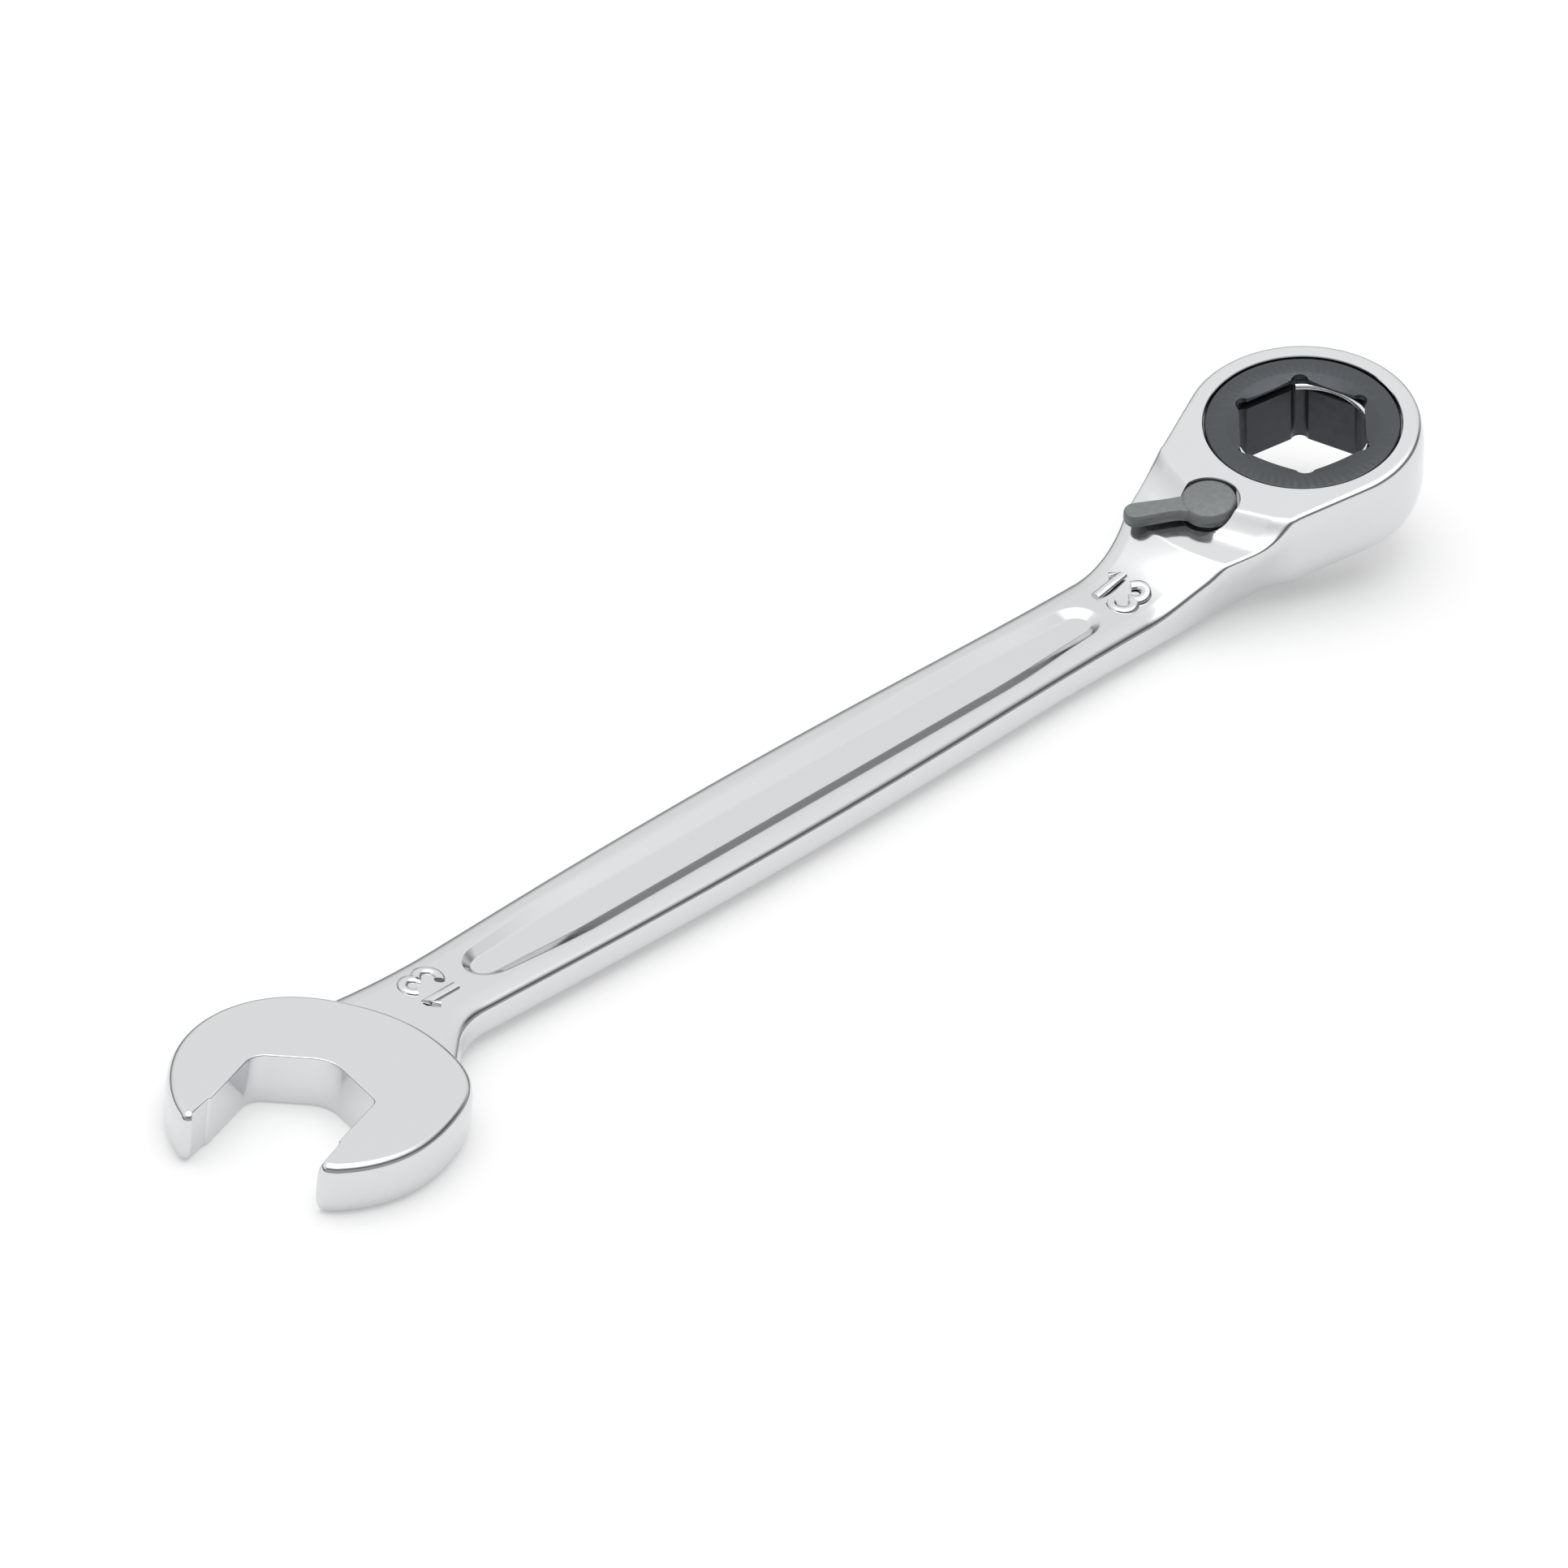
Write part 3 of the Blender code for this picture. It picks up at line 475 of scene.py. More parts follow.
def handle_sections():
    """All sections of the forging from the ring's tip to inside the jaw."""
    made = [head_station(1.25 + 2.5 * i) for i in range(43)]
    for i, u in enumerate((-5.2, -6.6, -8.0, -9.4, -10.6, -11.6)):
        made.append(plateau_station(u, (i + 1) / 6.0))
    rhos = [14.95 + 0.17 * i for i in range(10)] + [16.7, 17.0, 17.35, 17.7, 18.1, 18.5, 18.9, 19.2]
    rhos += [19.6, 20.1, 20.7, 21.1, 21.25, 21.33, 21.39, 21.45, 21.51, 21.59, 21.7, 21.9, 22.2]
    rhos += [22.6 + 0.44 * i for i in range(20)]
    for rho in rhos:
        made.append(neck_station(rho, 1.0, ease((rho - 21.5) / 1.5)))
    made += [shaft_station(-31.6 - 0.6 * i, 1.0 - (i + 1) / 8.0) for i in range(8)]
    made += [shaft_station(-38.0 - 4.0 * i, 0.0) for i in range(22)]
    made += [shaft_station(-124.0 - 0.6 * i, 0.0) for i in range(29)]
    return made


def section_loop(section, outward):
    """Once round a section: top from the centre to the left, down, under and back up the right."""
    def half_loop(side):
        """One side of the loop, from beside the top's middle to beside the bottom's."""
        top, low = section["T", side], section["B", side]
        depth = (top - low).length
        bulge = max(0.30, 0.0070 * depth * depth)

        def wall(t):
            """Point of the crowned side wall, from 0 at the top edge to 1 at the bottom edge."""
            return top.lerp(low, t) + outward[side] * bulge * (1.0 - (2.0 * t - 1.0) ** 4)
        start = EDGE_R / depth
        row = list(reversed(section["top", side]))
        row += bezier_round(row[-1], top + outward[side] * bulge * 3.2 * start, wall(start))
        row += [wall(start + (1.0 - 2.0 * start) * i / 13.0) for i in range(14)]
        row += bezier_round(row[-1], low + outward[side] * bulge * 3.2 * start, section["low", side][0])
        row += section["low", side]
        return row
    return [section["top", 0]] + half_loop(1) + [section["low", 0]] + list(reversed(half_loop(-1)))


def handle_mesh():
    """Ring head, neck and shaft as one closed skin."""
    sections = handle_sections()
    loops = []
    for i, section in enumerate(sections):
        before, after = sections[max(i - 1, 0)], sections[min(i + 1, len(sections) - 1)]
        outward = {}
        for side in (1, -1):
            run = before["T", side] + before["B", side] - after["T", side] - after["B", side]
            outward[side] = Vector((-run.y, run.x, 0.0)).normalized() * side
        loops.append(section_loop(section, outward))
    bm = bmesh.new()
    rings = [[bm.verts.new(point) for point in loop] for loop in loops]
    count = len(rings[0])
    for near, far in zip(rings, rings[1:]):
        for i in range(count):
            bm.faces.new((near[i - 1], near[i], far[i], far[i - 1]))
    tip = rings[0]
    for i in range(count // 2):
        corners = [tip[i], tip[i + 1], tip[-i - 1], tip[-i]]
        bm.faces.new(list(dict.fromkeys(corners)))
    bm.faces.new(rings[-1])
    return bm


JAW = Vector((-75.67, -0.89, 0.0))
JAW_TURN = math.radians(195.0)
JAW_THICK, JAW_R, JAW_CROWN = 5.40, 13.45, 0.50
THROAT_EDGE_R = 0.14


def jaw_radius(angle):
    """Outline of the jaw: a circle with a heavier root under the lower prong and a flatter left side."""
    def hump(centre, width):
        return math.exp(-((angle - centre) / width) ** 2)
    return JAW_R + 0.95 * hump(-42.0, 20.0) - 0.65 * hump(25.0, 28.0) + 0.30 * hump(160.0, 20.0)


def jaw_outline():
    """Plan of the jaw, throat first, and the number of its points that belong to the throat."""
    def place(along, across):
        return Vector((along * math.cos(JAW_TURN) + across * math.sin(JAW_TURN),
                       along * math.sin(JAW_TURN) - across * math.cos(JAW_TURN)))
    throat = [(11.93, 7.12), (8.35, 6.95), (8.10, 6.73), (-0.10, 6.73), (-3.50, 0.10), (-0.10, -6.33),
              (7.30, -6.33), (7.55, -6.55), (11.40, -6.68)]
    radii = [0.45, 0.0, 0.0, 2.2, 3.4, 0.9, 0.0, 0.0, 0.45]
    points = [place(*p) for p in throat]
    first = math.degrees(math.atan2(points[-1].y, points[-1].x)) % 360.0
    last = math.degrees(math.atan2(points[0].y, points[0].x)) % 360.0
    if last > first:
        last -= 360.0
    around = []
    count = 150
    clear_of_tips = 6.0
    for i in range(count + 1):
        degrees = first + clear_of_tips + (last + 360.0 - first - 2.0 * clear_of_tips) * i / count
        wrapped = (degrees + 180.0) % 360.0 - 180.0
        around.append(Vector(polar(jaw_radius(wrapped), degrees)))
    outline = rounded([tuple(p) for p in points + around], radii + [0.0] * len(around))
    return outline, len(outline) - len(around)


def jaw_mesh():
    """The open jaw, crowned outside, with plain walls in the throat."""
    outline, inner = jaw_outline()
    count = len(outline)
    normals, shares = [], []
    for i in range(count):
        run = Vector(outline[(i + 1) % count]) - Vector(outline[i - 1])
        normals.append(Vector((run.y, -run.x)).normalized())
        shares.append(0.0 if 4 < i < inner - 5 else 1.0)
    turn = sum(a[0] * b[1] - a[1] * b[0] for a, b in zip(outline, outline[1:] + outline[:1]))
    facing = 1.0 if turn > 0 else -1.0
    sections = []
    steps = [("low", i) for i in range(6)]
    steps += [("wall", i) for i in range(1, 14)]
    steps += [("top", 5 - i) for i in range(6)]
    for kind, i in steps:
        section = []
        for point, normal, share in zip(outline, normals, shares):
            r = EDGE_R if share else THROAT_EDGE_R
            if kind == "wall":
                z = r + (JAW_THICK - 2.0 * r) * i / 14.0
                inset = 0.0
            else:
                a = math.radians(18.0 * i)
                inset = r * (1.0 - math.sin(a))
                z = r * (1.0 - math.cos(a))
                if kind == "top":
                    z = JAW_THICK - z
            level = (z - JAW_THICK / 2.0) / (JAW_THICK / 2.0)
            out = JAW_CROWN * share * (1.0 - level ** 4) - inset
            at = Vector(point) + normal * facing * out
            section.append((JAW.x + at.x, JAW.y + at.y, z))
        sections.append(section)
    return skin(sections)


def stadium(half_width, start, end, steps=16):
    """A long slot outline with round ends, along X."""
    outline = []
    left, right = start + half_width, end - half_width
    for middle, turn in ((right, -90.0), (left, 90.0)):
        for step in range(steps + 1):
            a = math.radians(turn + 180.0 * step / steps)
            outline.append((middle + half_width * math.cos(a), half_width * math.sin(a)))
        way = left - right if middle == right else right - left
        outline += [(middle + way * i / 24.0, outline[-1][1]) for i in range(1, 24)]
    return outline


def groove_tool(name, side):
    """The long recess with gently sloping walls, a soft rim and a flat floor, narrower at its ends."""
    half, start, end = 3.45, -127.0, -32.4
    walls = [(1.78, 0.60), (1.66, 0.597), (1.56, 0.575), (1.46, 0.54), (0.22, 0.075), (0.12, 0.045),
             (0.02, 0.020), (-0.12, 0.004), (-0.20, 0.0), (-0.70, -0.25)]
    sections = []
    for inset, depth in walls:
        outline = []
        for x, y in stadium(half - inset, start + 0.6 * inset, end - 0.7 * inset, 20):
            narrow = 0.30 * ease((-112.0 - x) / 14.0) + 0.25 * ease((x + 50.0) / 16.0)
            outline.append((RING.x + x, RING.y + y * (1.0 - narrow)))
        z = PANEL_Z - depth if side > 0 else LOW_PANEL_Z + depth
        sections.append([(x, y, z) for x, y in outline])
    return new_object(name, skin(sections))


def bore_tool():
    """Bore for the gear with its clip groove and lower lip."""
    bore, clip_groove, lip = 10.34, 10.90, 9.20
    profile = [(0.0, 2.0), (10.6, 2.0), (10.6, 0.14), (10.42, 0.03), (bore, -0.10), (bore, -1.80),
               (clip_groove, -1.80), (clip_groove, -2.50), (bore, -2.50), (bore, -7.15), (lip, -7.15),
               (lip, -8.65), (9.35, -8.82), (9.6, -9.2), (9.6, -10.5), (0.0, -10.5)]
    return new_object("bore_tool", turned(profile, 144), PLACE)


def pocket_tool():
    """Milled pocket in which the pawl rocks."""
    pocket_r, back_u = 6.30, -14.15
    back = math.degrees(math.acos((back_u - PAWL_U) / pocket_r))
    return new_object("pocket_tool", prism(arc(pocket_r, -back, back, 48, PAWL_U), -7.05, -2.70), PLACE)


def seat_tool():
    """Seat for the lever's disc, bore for its post and groove for its clip."""
    seat, bore, clip_groove = 3.20, 2.55, 3.00
    profile = [(0.0, 3.0), (3.45, 3.0), (3.45, 0.2), (3.30, 0.04), (seat, -0.10), (seat, -1.95),
               (bore, -1.95), (bore, -7.17), (clip_groove, -7.17), (clip_groove, -7.68), (bore, -7.68),
               (bore, -8.10), (0.0, -8.10)]
    return new_object("seat_tool", turned(profile, 96), PLACE @ Matrix.Translation((LEVER_U, 0, 0)))


chrome = metal("polished_chrome", (0.690, 0.700, 0.711), 1.0, 260.0, 0.07, 0.13, 0.03)

body = new_object("wrench_body_forging", handle_mesh())
combine(body, [(new_object("jaw", jaw_mesh()), "UNION"), (groove_tool("groove_above", 1), "DIFFERENCE"),
               (groove_tool("groove_below", -1), "DIFFERENCE"), (bore_tool(), "DIFFERENCE"),
               (pocket_tool(), "DIFFERENCE"), (seat_tool(), "DIFFERENCE")])
finish_piece(body, "wrench", chrome, ["wrench_body"], 28.0)


# ---------------------------------------------------------------- size marks
# Size of the opening in plain raised numerals on the panel beside each end.  They are forged with the
# body and plated with it, and stand a quarter of a millimetre proud.


def numeral_strokes():
    """Centre lines of a 1 and a 3, four high, reading along +X with their feet at Y = 0."""
    one = [(-2.05, 3.05), (-1.15, 3.95), (-1.15, 0.05)]
    three = [(0.35, 3.35)]
    for radius, height, start, end in ((0.95, 2.95, 135, -91), (1.05, 1.05, 75, -151)):
        for a in range(start, end, -15):
            across, up = polar(radius, a)
            three.append((1.25 + across, height + up))
    return [one, three]


def raised_numerals(x, turn):
    """Size mark of the opening beside it, raised from the panel like a forged numeral."""
    bm = bmesh.new()
    stroke_half, raised_by = 0.52, 0.27
    shape = [(-1.0, -0.30), (-0.86, 0.40), (-0.58, 0.86), (-0.2, 1.0), (0.2, 1.0), (0.58, 0.86), (0.86, 0.40),
             (1.0, -0.30), (0.5, -0.8), (-0.5, -0.8)]
    for line in numeral_strokes():
        rings = []
        for i, (px, py) in enumerate(line):
            before = Vector(line[max(i - 1, 0)])
            after = Vector(line[min(i + 1, len(line) - 1)])
            run = (after - before).normalized()
            across = Vector((-run.y, run.x))
            ring = []
            for wide, high in shape:
                at = Vector((px, py)) + across * stroke_half * wide
                ring.append(bm.verts.new((at.x, at.y, raised_by * high)))
            rings.append(ring)
        for near, far in zip(rings, rings[1:]):
            for k in range(len(shape)):
                bm.faces.new((near[k - 1], near[k], far[k], far[k - 1]))
        bm.faces.new(rings[0])
        bm.faces.new(rings[-1])
    place = Matrix.Translation((RING.x + x, RING.y + 0.35, PANEL_Z)) @ Matrix.Rotation(turn, 4, "Z")
    bmesh.ops.transform(bm, matrix=place @ Matrix.Diagonal((1.12, 1.08, 1.0, 1.0)), verts=bm.verts)
    ramp_rise = 3.26
    for vert in bm.verts:
        rho = math.hypot(vert.co.x - RING.x, vert.co.y - RING.y)
        share = max(RAMP_END - rho, 0.0) / (RAMP_END - RIDGE_R)
        vert.co.z += ramp_rise * share * share
    return new_object("numerals", bm)


for number, (x, turn) in enumerate(((-30.2, -90.0), (-129.6, 90.0))):
    mark = raised_numerals(x, math.radians(turn))
    mark.name = f"size_mark_{number + 1}"
    finish_piece(mark, "wrench", chrome, [], 50.0)


# ---------------------------------------------------------------- ratchet gear
# Hardened steel ring with a hexagon bore, broached, toothed and black oxide coated.  It turns in the
# head's bore on its flange and hub and is held down by a snap ring.

HEX_TURN = 41.4


def hexagon(flat, relief_r, relief_at):
    """Hexagon with round relief pockets in its corners."""
    outline = []
    half_open = math.degrees(math.acos((flat - relief_at * math.cos(math.radians(30.0))) / relief_r))
    for corner in range(6):
        direction = HEX_TURN + 60.0 * corner
        centre = Vector(polar(relief_at, direction))
        swing = 30.0 + half_open
        for step in range(13):
            angle = direction - swing + 2.0 * swing * step / 12.0
            outline.append(tuple(centre + Vector(polar(relief_r, angle))))
    return outline


def gear_mesh_object():
    """Toothed blank, cut by the hexagon and the inner groove."""
    around = [tooth * 5.0 + step for tooth in range(72) for step in (-0.35, 0.35, 2.5)]
    flange, clip_groove, hub, root, tip = 10.14, 9.30, 9.00, 9.62, 10.06
    toothed = 0.0
    levels = [(5.0, -1.00), (6.4, -0.62), (7.85, -0.19), (8.05, -0.15), (9.90, -0.12), (10.05, -0.17),
              (flange, -0.30), (flange, -1.80), (clip_groove, -1.80), (clip_groove, -2.50), (toothed, -2.50),
              (toothed, -6.90), (hub, -6.90), (hub, -8.52), (8.88, -8.66), (8.74, -8.68), (5.0, -8.68)]
    sections = []
    for radius, h in levels:
        section = []
        for i, degrees in enumerate(around):
            u, v = polar(radius or (root if i % 3 == 2 else tip), degrees)
            section.append((u, v, h))
        sections.append(section)
    gear = new_object("ratchet_gear_ring", skin(sections), PLACE)
    outline = hexagon(6.525, 0.95, 6.75)
    rim = hexagon(6.60, 0.98, 6.74)
    steps = [(-11.0, rim), (-8.64, rim), (-8.54, outline), (-0.46, outline), (-0.34, rim), (2.0, rim)]
    bore = new_object("hexagon_tool", skin([[(u, v, h) for u, v in shape] for h, shape in steps]), PLACE)
    groove = turned([(0.0, -0.85), (7.75, -0.85), (7.75, -1.85), (0.0, -1.85)])
    groove = new_object("groove_tool", groove, PLACE)
    combine(gear, [(bore, "DIFFERENCE"), (groove, "DIFFERENCE")])
    return gear


oxide = metal("black_oxide", (0.070, 0.076, 0.083), 0.75, 900.0, 0.30, 0.42, 0.25)
finish_piece(gear_mesh_object(), "gear", oxide, ["ratchet_gear"])


# ---------------------------------------------------------------- bolt stop ring
# Open ring of bright spring wire, sprung into the groove inside the gear so that a nut or bolt head
# can't slip right through the hexagon.


def swept(profile, start, end, steps):
    """A closed (radius, height) profile swept part of a turn about Z, with both ends closed."""
    bm = bmesh.new()
    bm.faces.new([bm.verts.new((*polar(radius, start), height)) for radius, height in profile])
    bmesh.ops.spin(bm, geom=bm.verts[:] + bm.edges[:] + bm.faces[:], cent=(0, 0, 0), axis=(0, 0, 1),
                   angle=math.radians(end - start), steps=steps)
    return bm


def wire(ring_radius, wire_radius, height, sides=16):
    """Round wire profile at a ring radius."""
    turns = [TAU * i / sides for i in range(sides)]
    return [(ring_radius + wire_radius * math.cos(a), height + wire_radius * math.sin(a)) for a in turns]


bright = metal("bright_drawn_wire", (0.78, 0.79, 0.80), 1.0, 500.0, 0.12, 0.22, 0.05)
stop_ring = new_object("bolt_stop_wire", swept(wire(7.12, 0.34, -1.36), 126.0, 405.0, 120), PLACE)
finish_piece(stop_ring, "gear", bright, ["bolt_stop_ring"], 60.0)


# ---------------------------------------------------------------- gear retaining clip
# Flat snap ring of oiled spring steel with an open gap.  It is sprung half into the head's groove and
# half into the gear's, so that the gear turns but can't come out.


def eased_box(inner, outer, low, high, ease_by):
    """Rectangular (radius, height) profile with small chamfers."""
    e = ease_by
    return [(inner, low + e), (inner + e, low), (outer - e, low), (outer, low + e),
            (outer, high - e), (outer - e, high), (inner + e, high), (inner, high - e)]


spring_steel = metal("oiled_spring_steel", (0.30, 0.30, 0.31), 1.0, 400.0, 0.28, 0.40, 0.05)
clip = swept(eased_box(9.50, 10.75, -2.40, -1.90, 0.05), -168.0, 168.0, 120)
clip = new_object("gear_clip_ring", clip, PLACE)
finish_piece(clip, "wrench", spring_steel, ["gear_retaining_clip"])


# ---------------------------------------------------------------- pawl
# Small block of hardened steel with teeth on both halves.  It rocks on its round ends in the pocket so
# that one half or the other drives the gear.


def pawl_outline():
    """Plan of the pawl in its middle position, about its own centre."""
    def spun(point, degrees):
        """A plan point turned about the pawl's axis."""
        a = math.radians(degrees)
        u, v = point[0] - PAWL_U, point[1]
        return PAWL_U + u * math.cos(a) - v * math.sin(a), u * math.sin(a) + v * math.cos(a)
    teeth = []
    for tooth in range(4):
        teeth.append(spun(polar(10.30, 190.0 + 5.0 * tooth), -7.0))
        teeth.append(spun(polar(9.84, 192.2 + 5.0 * tooth), -7.0))
        teeth.append(spun(polar(9.84, 192.8 + 5.0 * tooth), -7.0))
    teeth.append(spun(polar(10.30, 210.0), -7.0))
    last = math.degrees(math.atan2(teeth[-1][1], teeth[-1][0] - PAWL_U))
    back = math.degrees(math.acos((-13.10 - PAWL_U) / 5.95))
    cradle = math.degrees(math.acos((-13.10 - LEVER_U) / 3.40))
    lower = arc(10.55, 180.0, 187.5, 4) + teeth + arc(5.95, last, -back, 10, PAWL_U)[1:]
    lower += arc(3.40, -cradle, 0.0, 12, LEVER_U)
    upper = [(u, -v) for u, v in reversed(lower[1:-1])]
    return [(u - PAWL_U, v) for u, v in lower + upper]


hardened = metal("hardened_pawl_steel", (0.36, 0.36, 0.37), 1.0, 500.0, 0.25, 0.38, 0.05)
pawl_place = PLACE @ Matrix.Translation((PAWL_U, 0, 0)) @ Matrix.Rotation(math.radians(7.0), 4, "Z")
pawl = new_object("rocking_pawl", prism(pawl_outline(), -6.85, -2.90), pawl_place)
finish_piece(pawl, "pawl", hardened, ["pawl"])


# ---------------------------------------------------------------- reversing lever
# Thumb lever pressed and sintered from steel powder: a thick disc with a tapering arm, on a round post
# that turns in the head.  Matte grey with soft edges and a faint parting line round the middle.

LEVER_PLACE = PLACE @ Matrix.Translation((LEVER_U, 0, 0)) @ Matrix.Rotation(math.radians(142.0), 4, "Z")
HOLE_R, HOLE_H = 0.72, -4.87


def lever_object():
    """Post and disc, thumb arm, and the cross hole for the plunger."""
    post, seal_groove, clip_groove, parting = 2.30, 1.62, 1.70, 2.93
    profile = [(0.0, 0.10), (2.45, 0.10), (2.66, 0.05), (2.82, -0.07), (2.89, -0.25), (2.90, -0.75),
               (parting, -0.80), (parting, -0.92), (2.90, -0.97), (2.88, -1.40), (2.80, -1.55), (2.66, -1.60),
               (post, -1.60), (post, -1.97), (seal_groove, -1.97), (seal_groove, -2.87), (post, -2.87),
               (post, -7.20), (clip_groove, -7.20), (clip_groove, -7.65), (post, -7.65), (post, -7.85),
               (2.20, -7.95), (0.0, -7.95)]
    lever = new_object("thumb_lever", turned(profile, 96), LEVER_PLACE)

    def arm_outline(grow):
        """Plan of the arm, its sides set out by a margin."""
        half, reach = 1.27 + grow, 8.93 + grow
        tip = arc(half, -90.0, 90.0, 20, reach - half)
        right = [(1.0, 1.20), (2.7, 1.20), (4.2, 1.14), (5.8, 1.20)]
        left = [(5.8, 1.20), (4.2, 1.14), (3.2, 1.22), (2.5, 1.50), (1.0, 1.55)]
        return [(u, -v - grow) for u, v in right] + tip + [(u, v + grow) for u, v in left]
    levels = [(-0.30, -1.46), (-0.12, -1.42), (-0.03, -1.30), (0.0, -1.08), (0.03, -0.99), (0.03, -0.85),
              (0.0, -0.76), (-0.01, -0.32), (-0.06, -0.16), (-0.18, -0.04), (-0.36, 0.0)]
    arm = new_object("arm", skin([[(u, v, h) for u, v in arm_outline(g)] for g, h in levels]), LEVER_PLACE)
    hole = turned([(0.0, -2.6), (HOLE_R, -2.6), (HOLE_R, 1.70), (0.0, 1.70)], 32)
    aim = LEVER_PLACE @ Matrix.Translation((0, 0, HOLE_H)) @ Matrix.Rotation(math.radians(90.0), 4, "Y")
    combine(lever, [(arm, "UNION"), (new_object("hole", hole, aim), "DIFFERENCE")])
    return lever


sintered = metal("grey_sintered_steel", (0.200, 0.212, 0.212), 0.55, 1400.0, 0.42, 0.58, 0.6)
finish_piece(lever_object(), "lever", sintered, ["reversing_lever"])


# ---------------------------------------------------------------- lever seal ring
# Moulded O-ring of black nitrile rubber.  It is stretched into the post's upper groove, where it fills
# the play in the bore and keeps grit out of the ratchet.

rubber = metal("nitrile_rubber", (0.018, 0.018, 0.019), 0.0, 800.0, 0.55, 0.75, 0.1)
seal = new_object("lever_o_ring", turned(wire(2.08, 0.38, -2.42), 72), LEVER_PLACE)
finish_piece(seal, "lever", rubber, ["lever_seal_ring"], 60.0)


# ---------------------------------------------------------------- lever retaining clip
# Open snap ring of oiled spring steel.  It is sprung into the head's lower groove and reaches into the
# post's, so that the lever turns but can't lift out.

lever_clip = swept(eased_box(1.85, 2.85, -7.60, -7.25, 0.04), 30.0, 330.0, 60)
lever_clip = new_object("lever_clip_ring", lever_clip, PLACE @ Matrix.Translation((LEVER_U, 0, 0)))
finish_piece(lever_clip, "wrench", spring_steel, ["lever_retaining_clip"])


# ---------------------------------------------------------------- pawl plunger
# Ground steel pin with a round nose.  It slides in the post's cross hole and is pushed out against the
# pawl's back, which it tips over as the lever turns.

pin_r, pin_tip = 0.60, 3.05
nose = [(out, pin_tip - pin_r + up) for out, up in (polar(pin_r, a) for a in range(0, 90, 15))]
pin = turned([(0.0, 1.0), (0.55, 1.0), (pin_r, 1.05)] + nose + [(0.0, pin_tip)], 48)
pin_aim = LEVER_PLACE @ Matrix.Translation((0, 0, HOLE_H)) @ Matrix.Rotation(math.radians(-90.0), 4, "Y")
ground = metal("ground_steel", (0.55, 0.55, 0.56), 1.0, 500.0, 0.15, 0.25, 0.03)
finish_piece(new_object("plunger_pin", pin, pin_aim), "plunger", ground, ["pawl_plunger"])


# ---------------------------------------------------------------- pawl spring
# Compression spring wound from fine music wire.  It lies in the post's cross hole behind the plunger,
# drawn at one length and turning with the lever.

COIL_START, COIL_END, COIL_R, COIL_WIRE_R = -1.48, 0.88, 0.42, 0.11


def coil():
    """Round wire wound along Z from the hole's end to the plunger."""
    turns, per_turn, sides = 6, 24, 8
    pitch = (COIL_END - COIL_START) / turns
    sections = []
    for i in range(turns * per_turn + 1):
        a = TAU * i / per_turn
        spoke = Vector((math.cos(a), math.sin(a), 0.0))
        middle = spoke * COIL_R + Vector((0, 0, COIL_START + pitch * i / per_turn))
        ring = []
        for k in range(sides):
            out, up = polar(COIL_WIRE_R, 360.0 * k / sides)
            ring.append(middle + spoke * out + Vector((0, 0, up)))
        sections.append(ring)
    return skin(sections)


music = metal("music_wire", (0.45, 0.45, 0.46), 1.0, 500.0, 0.2, 0.3, 0.03)
spring = new_object("plunger_spring", coil(), pin_aim)
finish_piece(spring, "lever", music, ["pawl_spring"], 60.0)
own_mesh(spring)


# ---------------------------------------------------------------- floor, light and camera
# Pale matte floor under a soft sky that is brightest overhead and darker toward one side, which draws
# the thin lines along the polished edges.  The camera looks over the open jaw from the thumb side.

floor_material = bpy.data.materials.new("studio_floor")
floor_material.use_nodes = True
floor_shader = floor_material.node_tree.nodes["Principled BSDF"]
floor_shader.inputs["Base Color"].default_value = (0.70, 0.70, 0.70, 1.0)
floor_shader.inputs["Emission Color"].default_value = (1.0, 1.0, 1.0, 1.0)
floor_shader.inputs["Emission Strength"].default_value = 0.28
floor_shader.inputs["Roughness"].default_value = 0.9
floor_mesh = bmesh.new()
bmesh.ops.create_grid(floor_mesh, x_segments=1, y_segments=1, size=3.0)
floor_data = bpy.data.meshes.new("studio_floor")
floor_mesh.to_mesh(floor_data)
floor_mesh.free()
floor_data.materials.append(floor_material)
floor = bpy.data.objects.new("studio_floor", floor_data)
floor.location.z = -0.0002
bpy.context.scene.collection.objects.link(floor)

world = bpy.data.worlds.new("studio")
bpy.context.scene.world = world
world.use_nodes = True
sky = world.node_tree.nodes
join = world.node_tree.links.new
where = sky.new("ShaderNodeTexCoord")
split = sky.new("ShaderNodeSeparateXYZ")


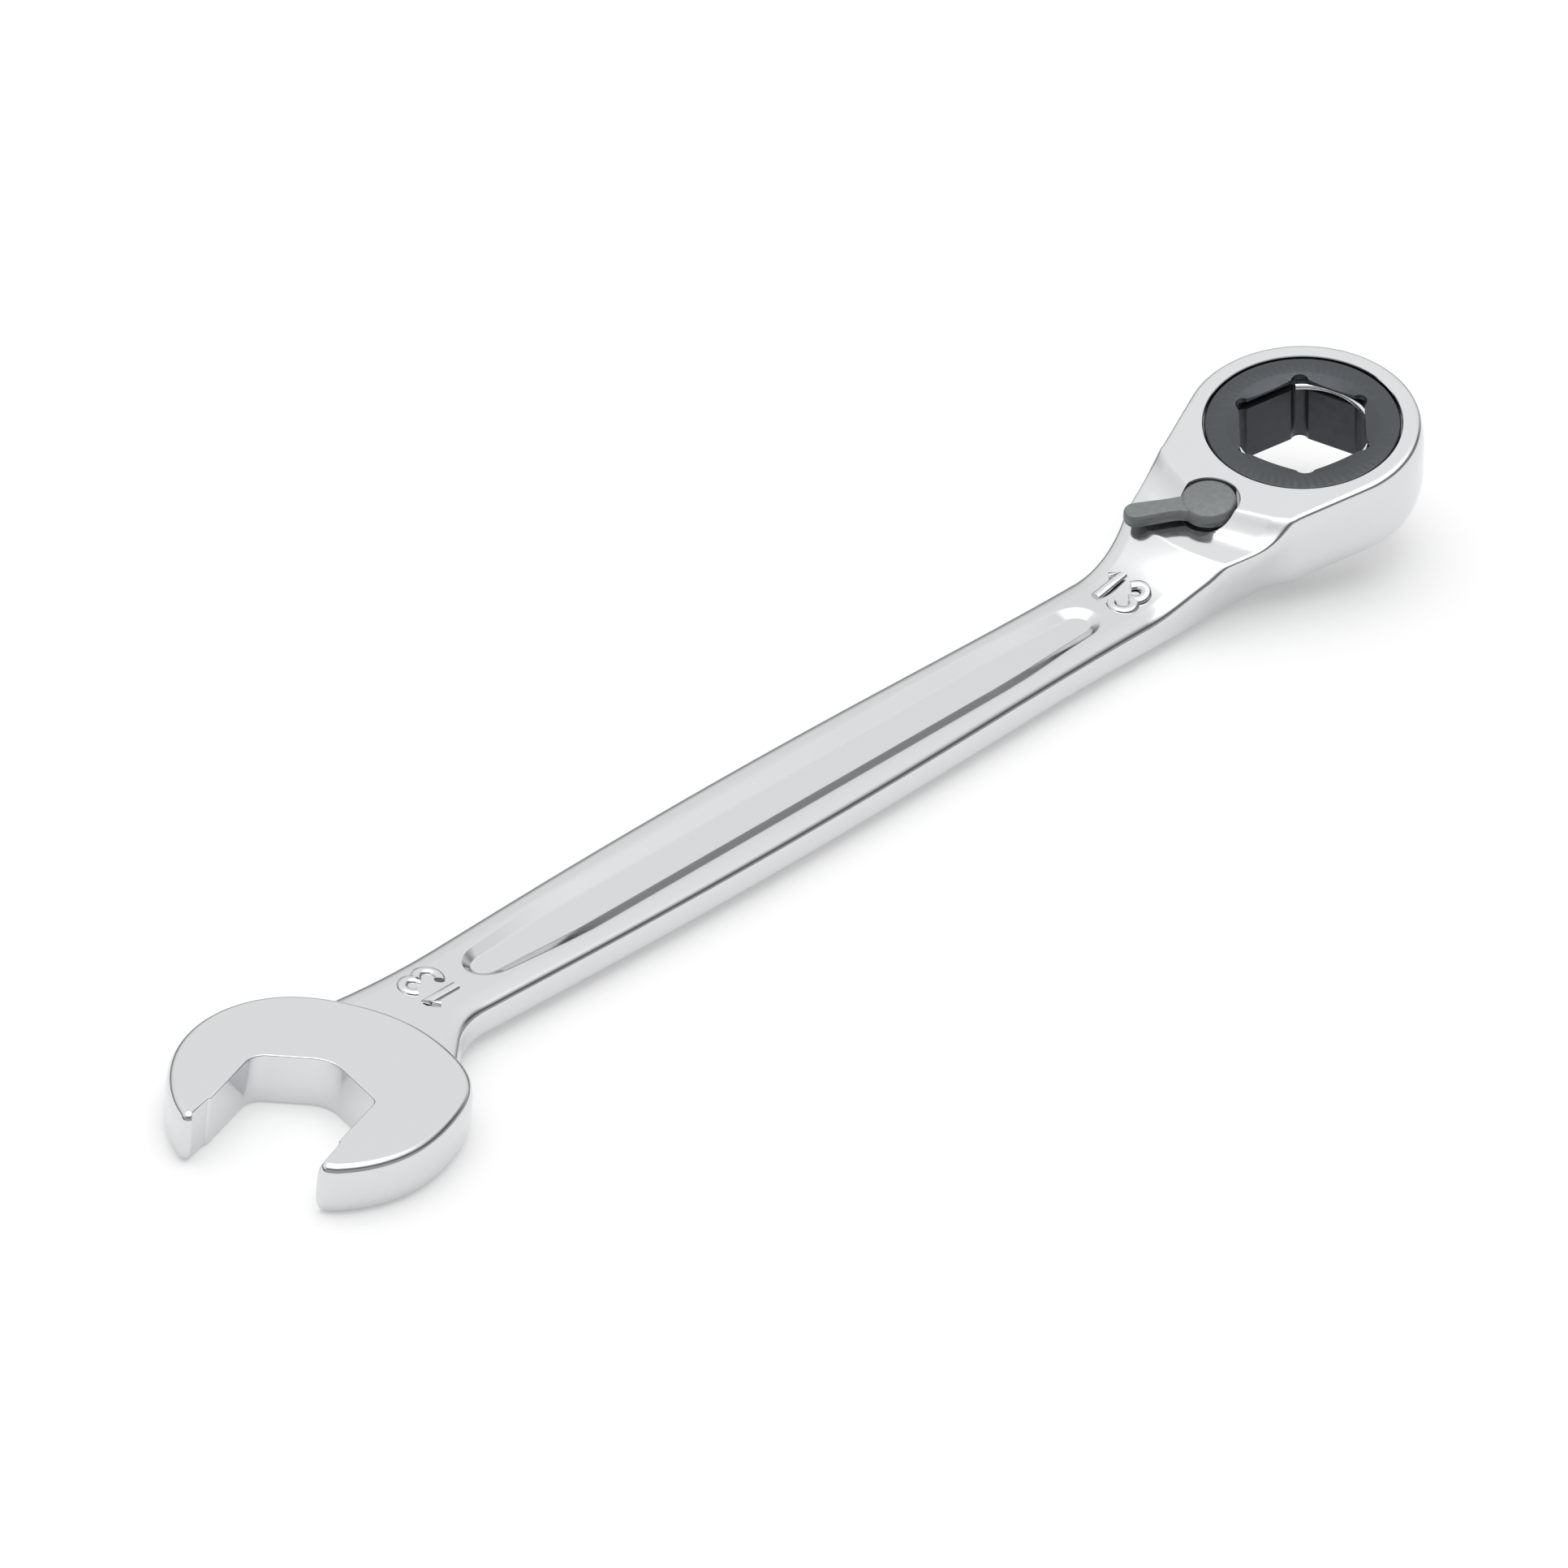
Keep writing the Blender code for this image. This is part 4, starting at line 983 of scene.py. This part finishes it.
def height_ramp(levels):
    """Grey levels by the height of a direction; the first is at the horizon, the last overhead."""
    ramp = sky.new("ShaderNodeValToRGB")
    stops = ramp.color_ramp.elements
    while len(stops) < len(levels):
        stops.new(0.5)
    for stop, (height, level) in zip(stops, levels):
        stop.position = height
        stop.color = (level, level, level, 1.0)
    join(split.outputs["Z"], ramp.inputs["Fac"])
    return ramp


join(where.outputs["Generated"], split.inputs["Vector"])
white_side = height_ramp([(0.0, 0.005), (0.06, 0.02), (0.10, 0.08), (0.22, 0.12), (0.38, 0.26), (0.57, 0.28),
                          (0.80, 0.305), (0.87, 0.36), (0.90, 0.60), (1.0, 0.66)])
dark_side = height_ramp([(0.0, 0.10), (0.27, 0.13), (0.38, 0.04), (0.56, 0.04), (0.70, 0.20), (0.84, 0.45),
                         (1.0, 0.66)])
turn_over = sky.new("ShaderNodeMapRange")
turn_over.interpolation_type = "SMOOTHSTEP"
turn_over.inputs["From Min"].default_value = -0.25
turn_over.inputs["From Max"].default_value = 0.20
blend = sky.new("ShaderNodeMix")
blend.data_type = "RGBA"
join(split.outputs["Y"], turn_over.inputs["Value"])
join(turn_over.outputs["Result"], blend.inputs["Factor"])
join(dark_side.outputs["Color"], blend.inputs["A"])
join(white_side.outputs["Color"], blend.inputs["B"])
join(blend.outputs["Result"], sky["Background"].inputs["Color"])
sky["Background"].inputs["Strength"].default_value = 3.5

AZIMUTH, ELEVATION, LEAN = math.radians(-53.139), math.radians(34.362), math.radians(7.169)
DISTANCE = 0.942118
TARGET = Vector((-0.015469, -0.005666, 0.01412))
back = Vector((0.0, -1.0, 0.0))
back.rotate(Matrix.Rotation(-ELEVATION, 3, "X"))
back.rotate(Matrix.Rotation(AZIMUTH, 3, "Z"))
camera = bpy.data.cameras.new("camera")
camera.sensor_width = 36.0
camera.lens = 223.602
camera.clip_start = 0.05
camera_object = bpy.data.objects.new("camera", camera)
aim = back.to_track_quat("Z", "Y").to_matrix().to_4x4()
aim = aim @ Matrix.Rotation(LEAN, 4, "Z")
camera_object.matrix_world = Matrix.Translation(TARGET + back * DISTANCE) @ aim
bpy.context.scene.collection.objects.link(camera_object)
bpy.context.scene.camera = camera_object
bpy.context.scene.view_settings.view_transform = "Standard"
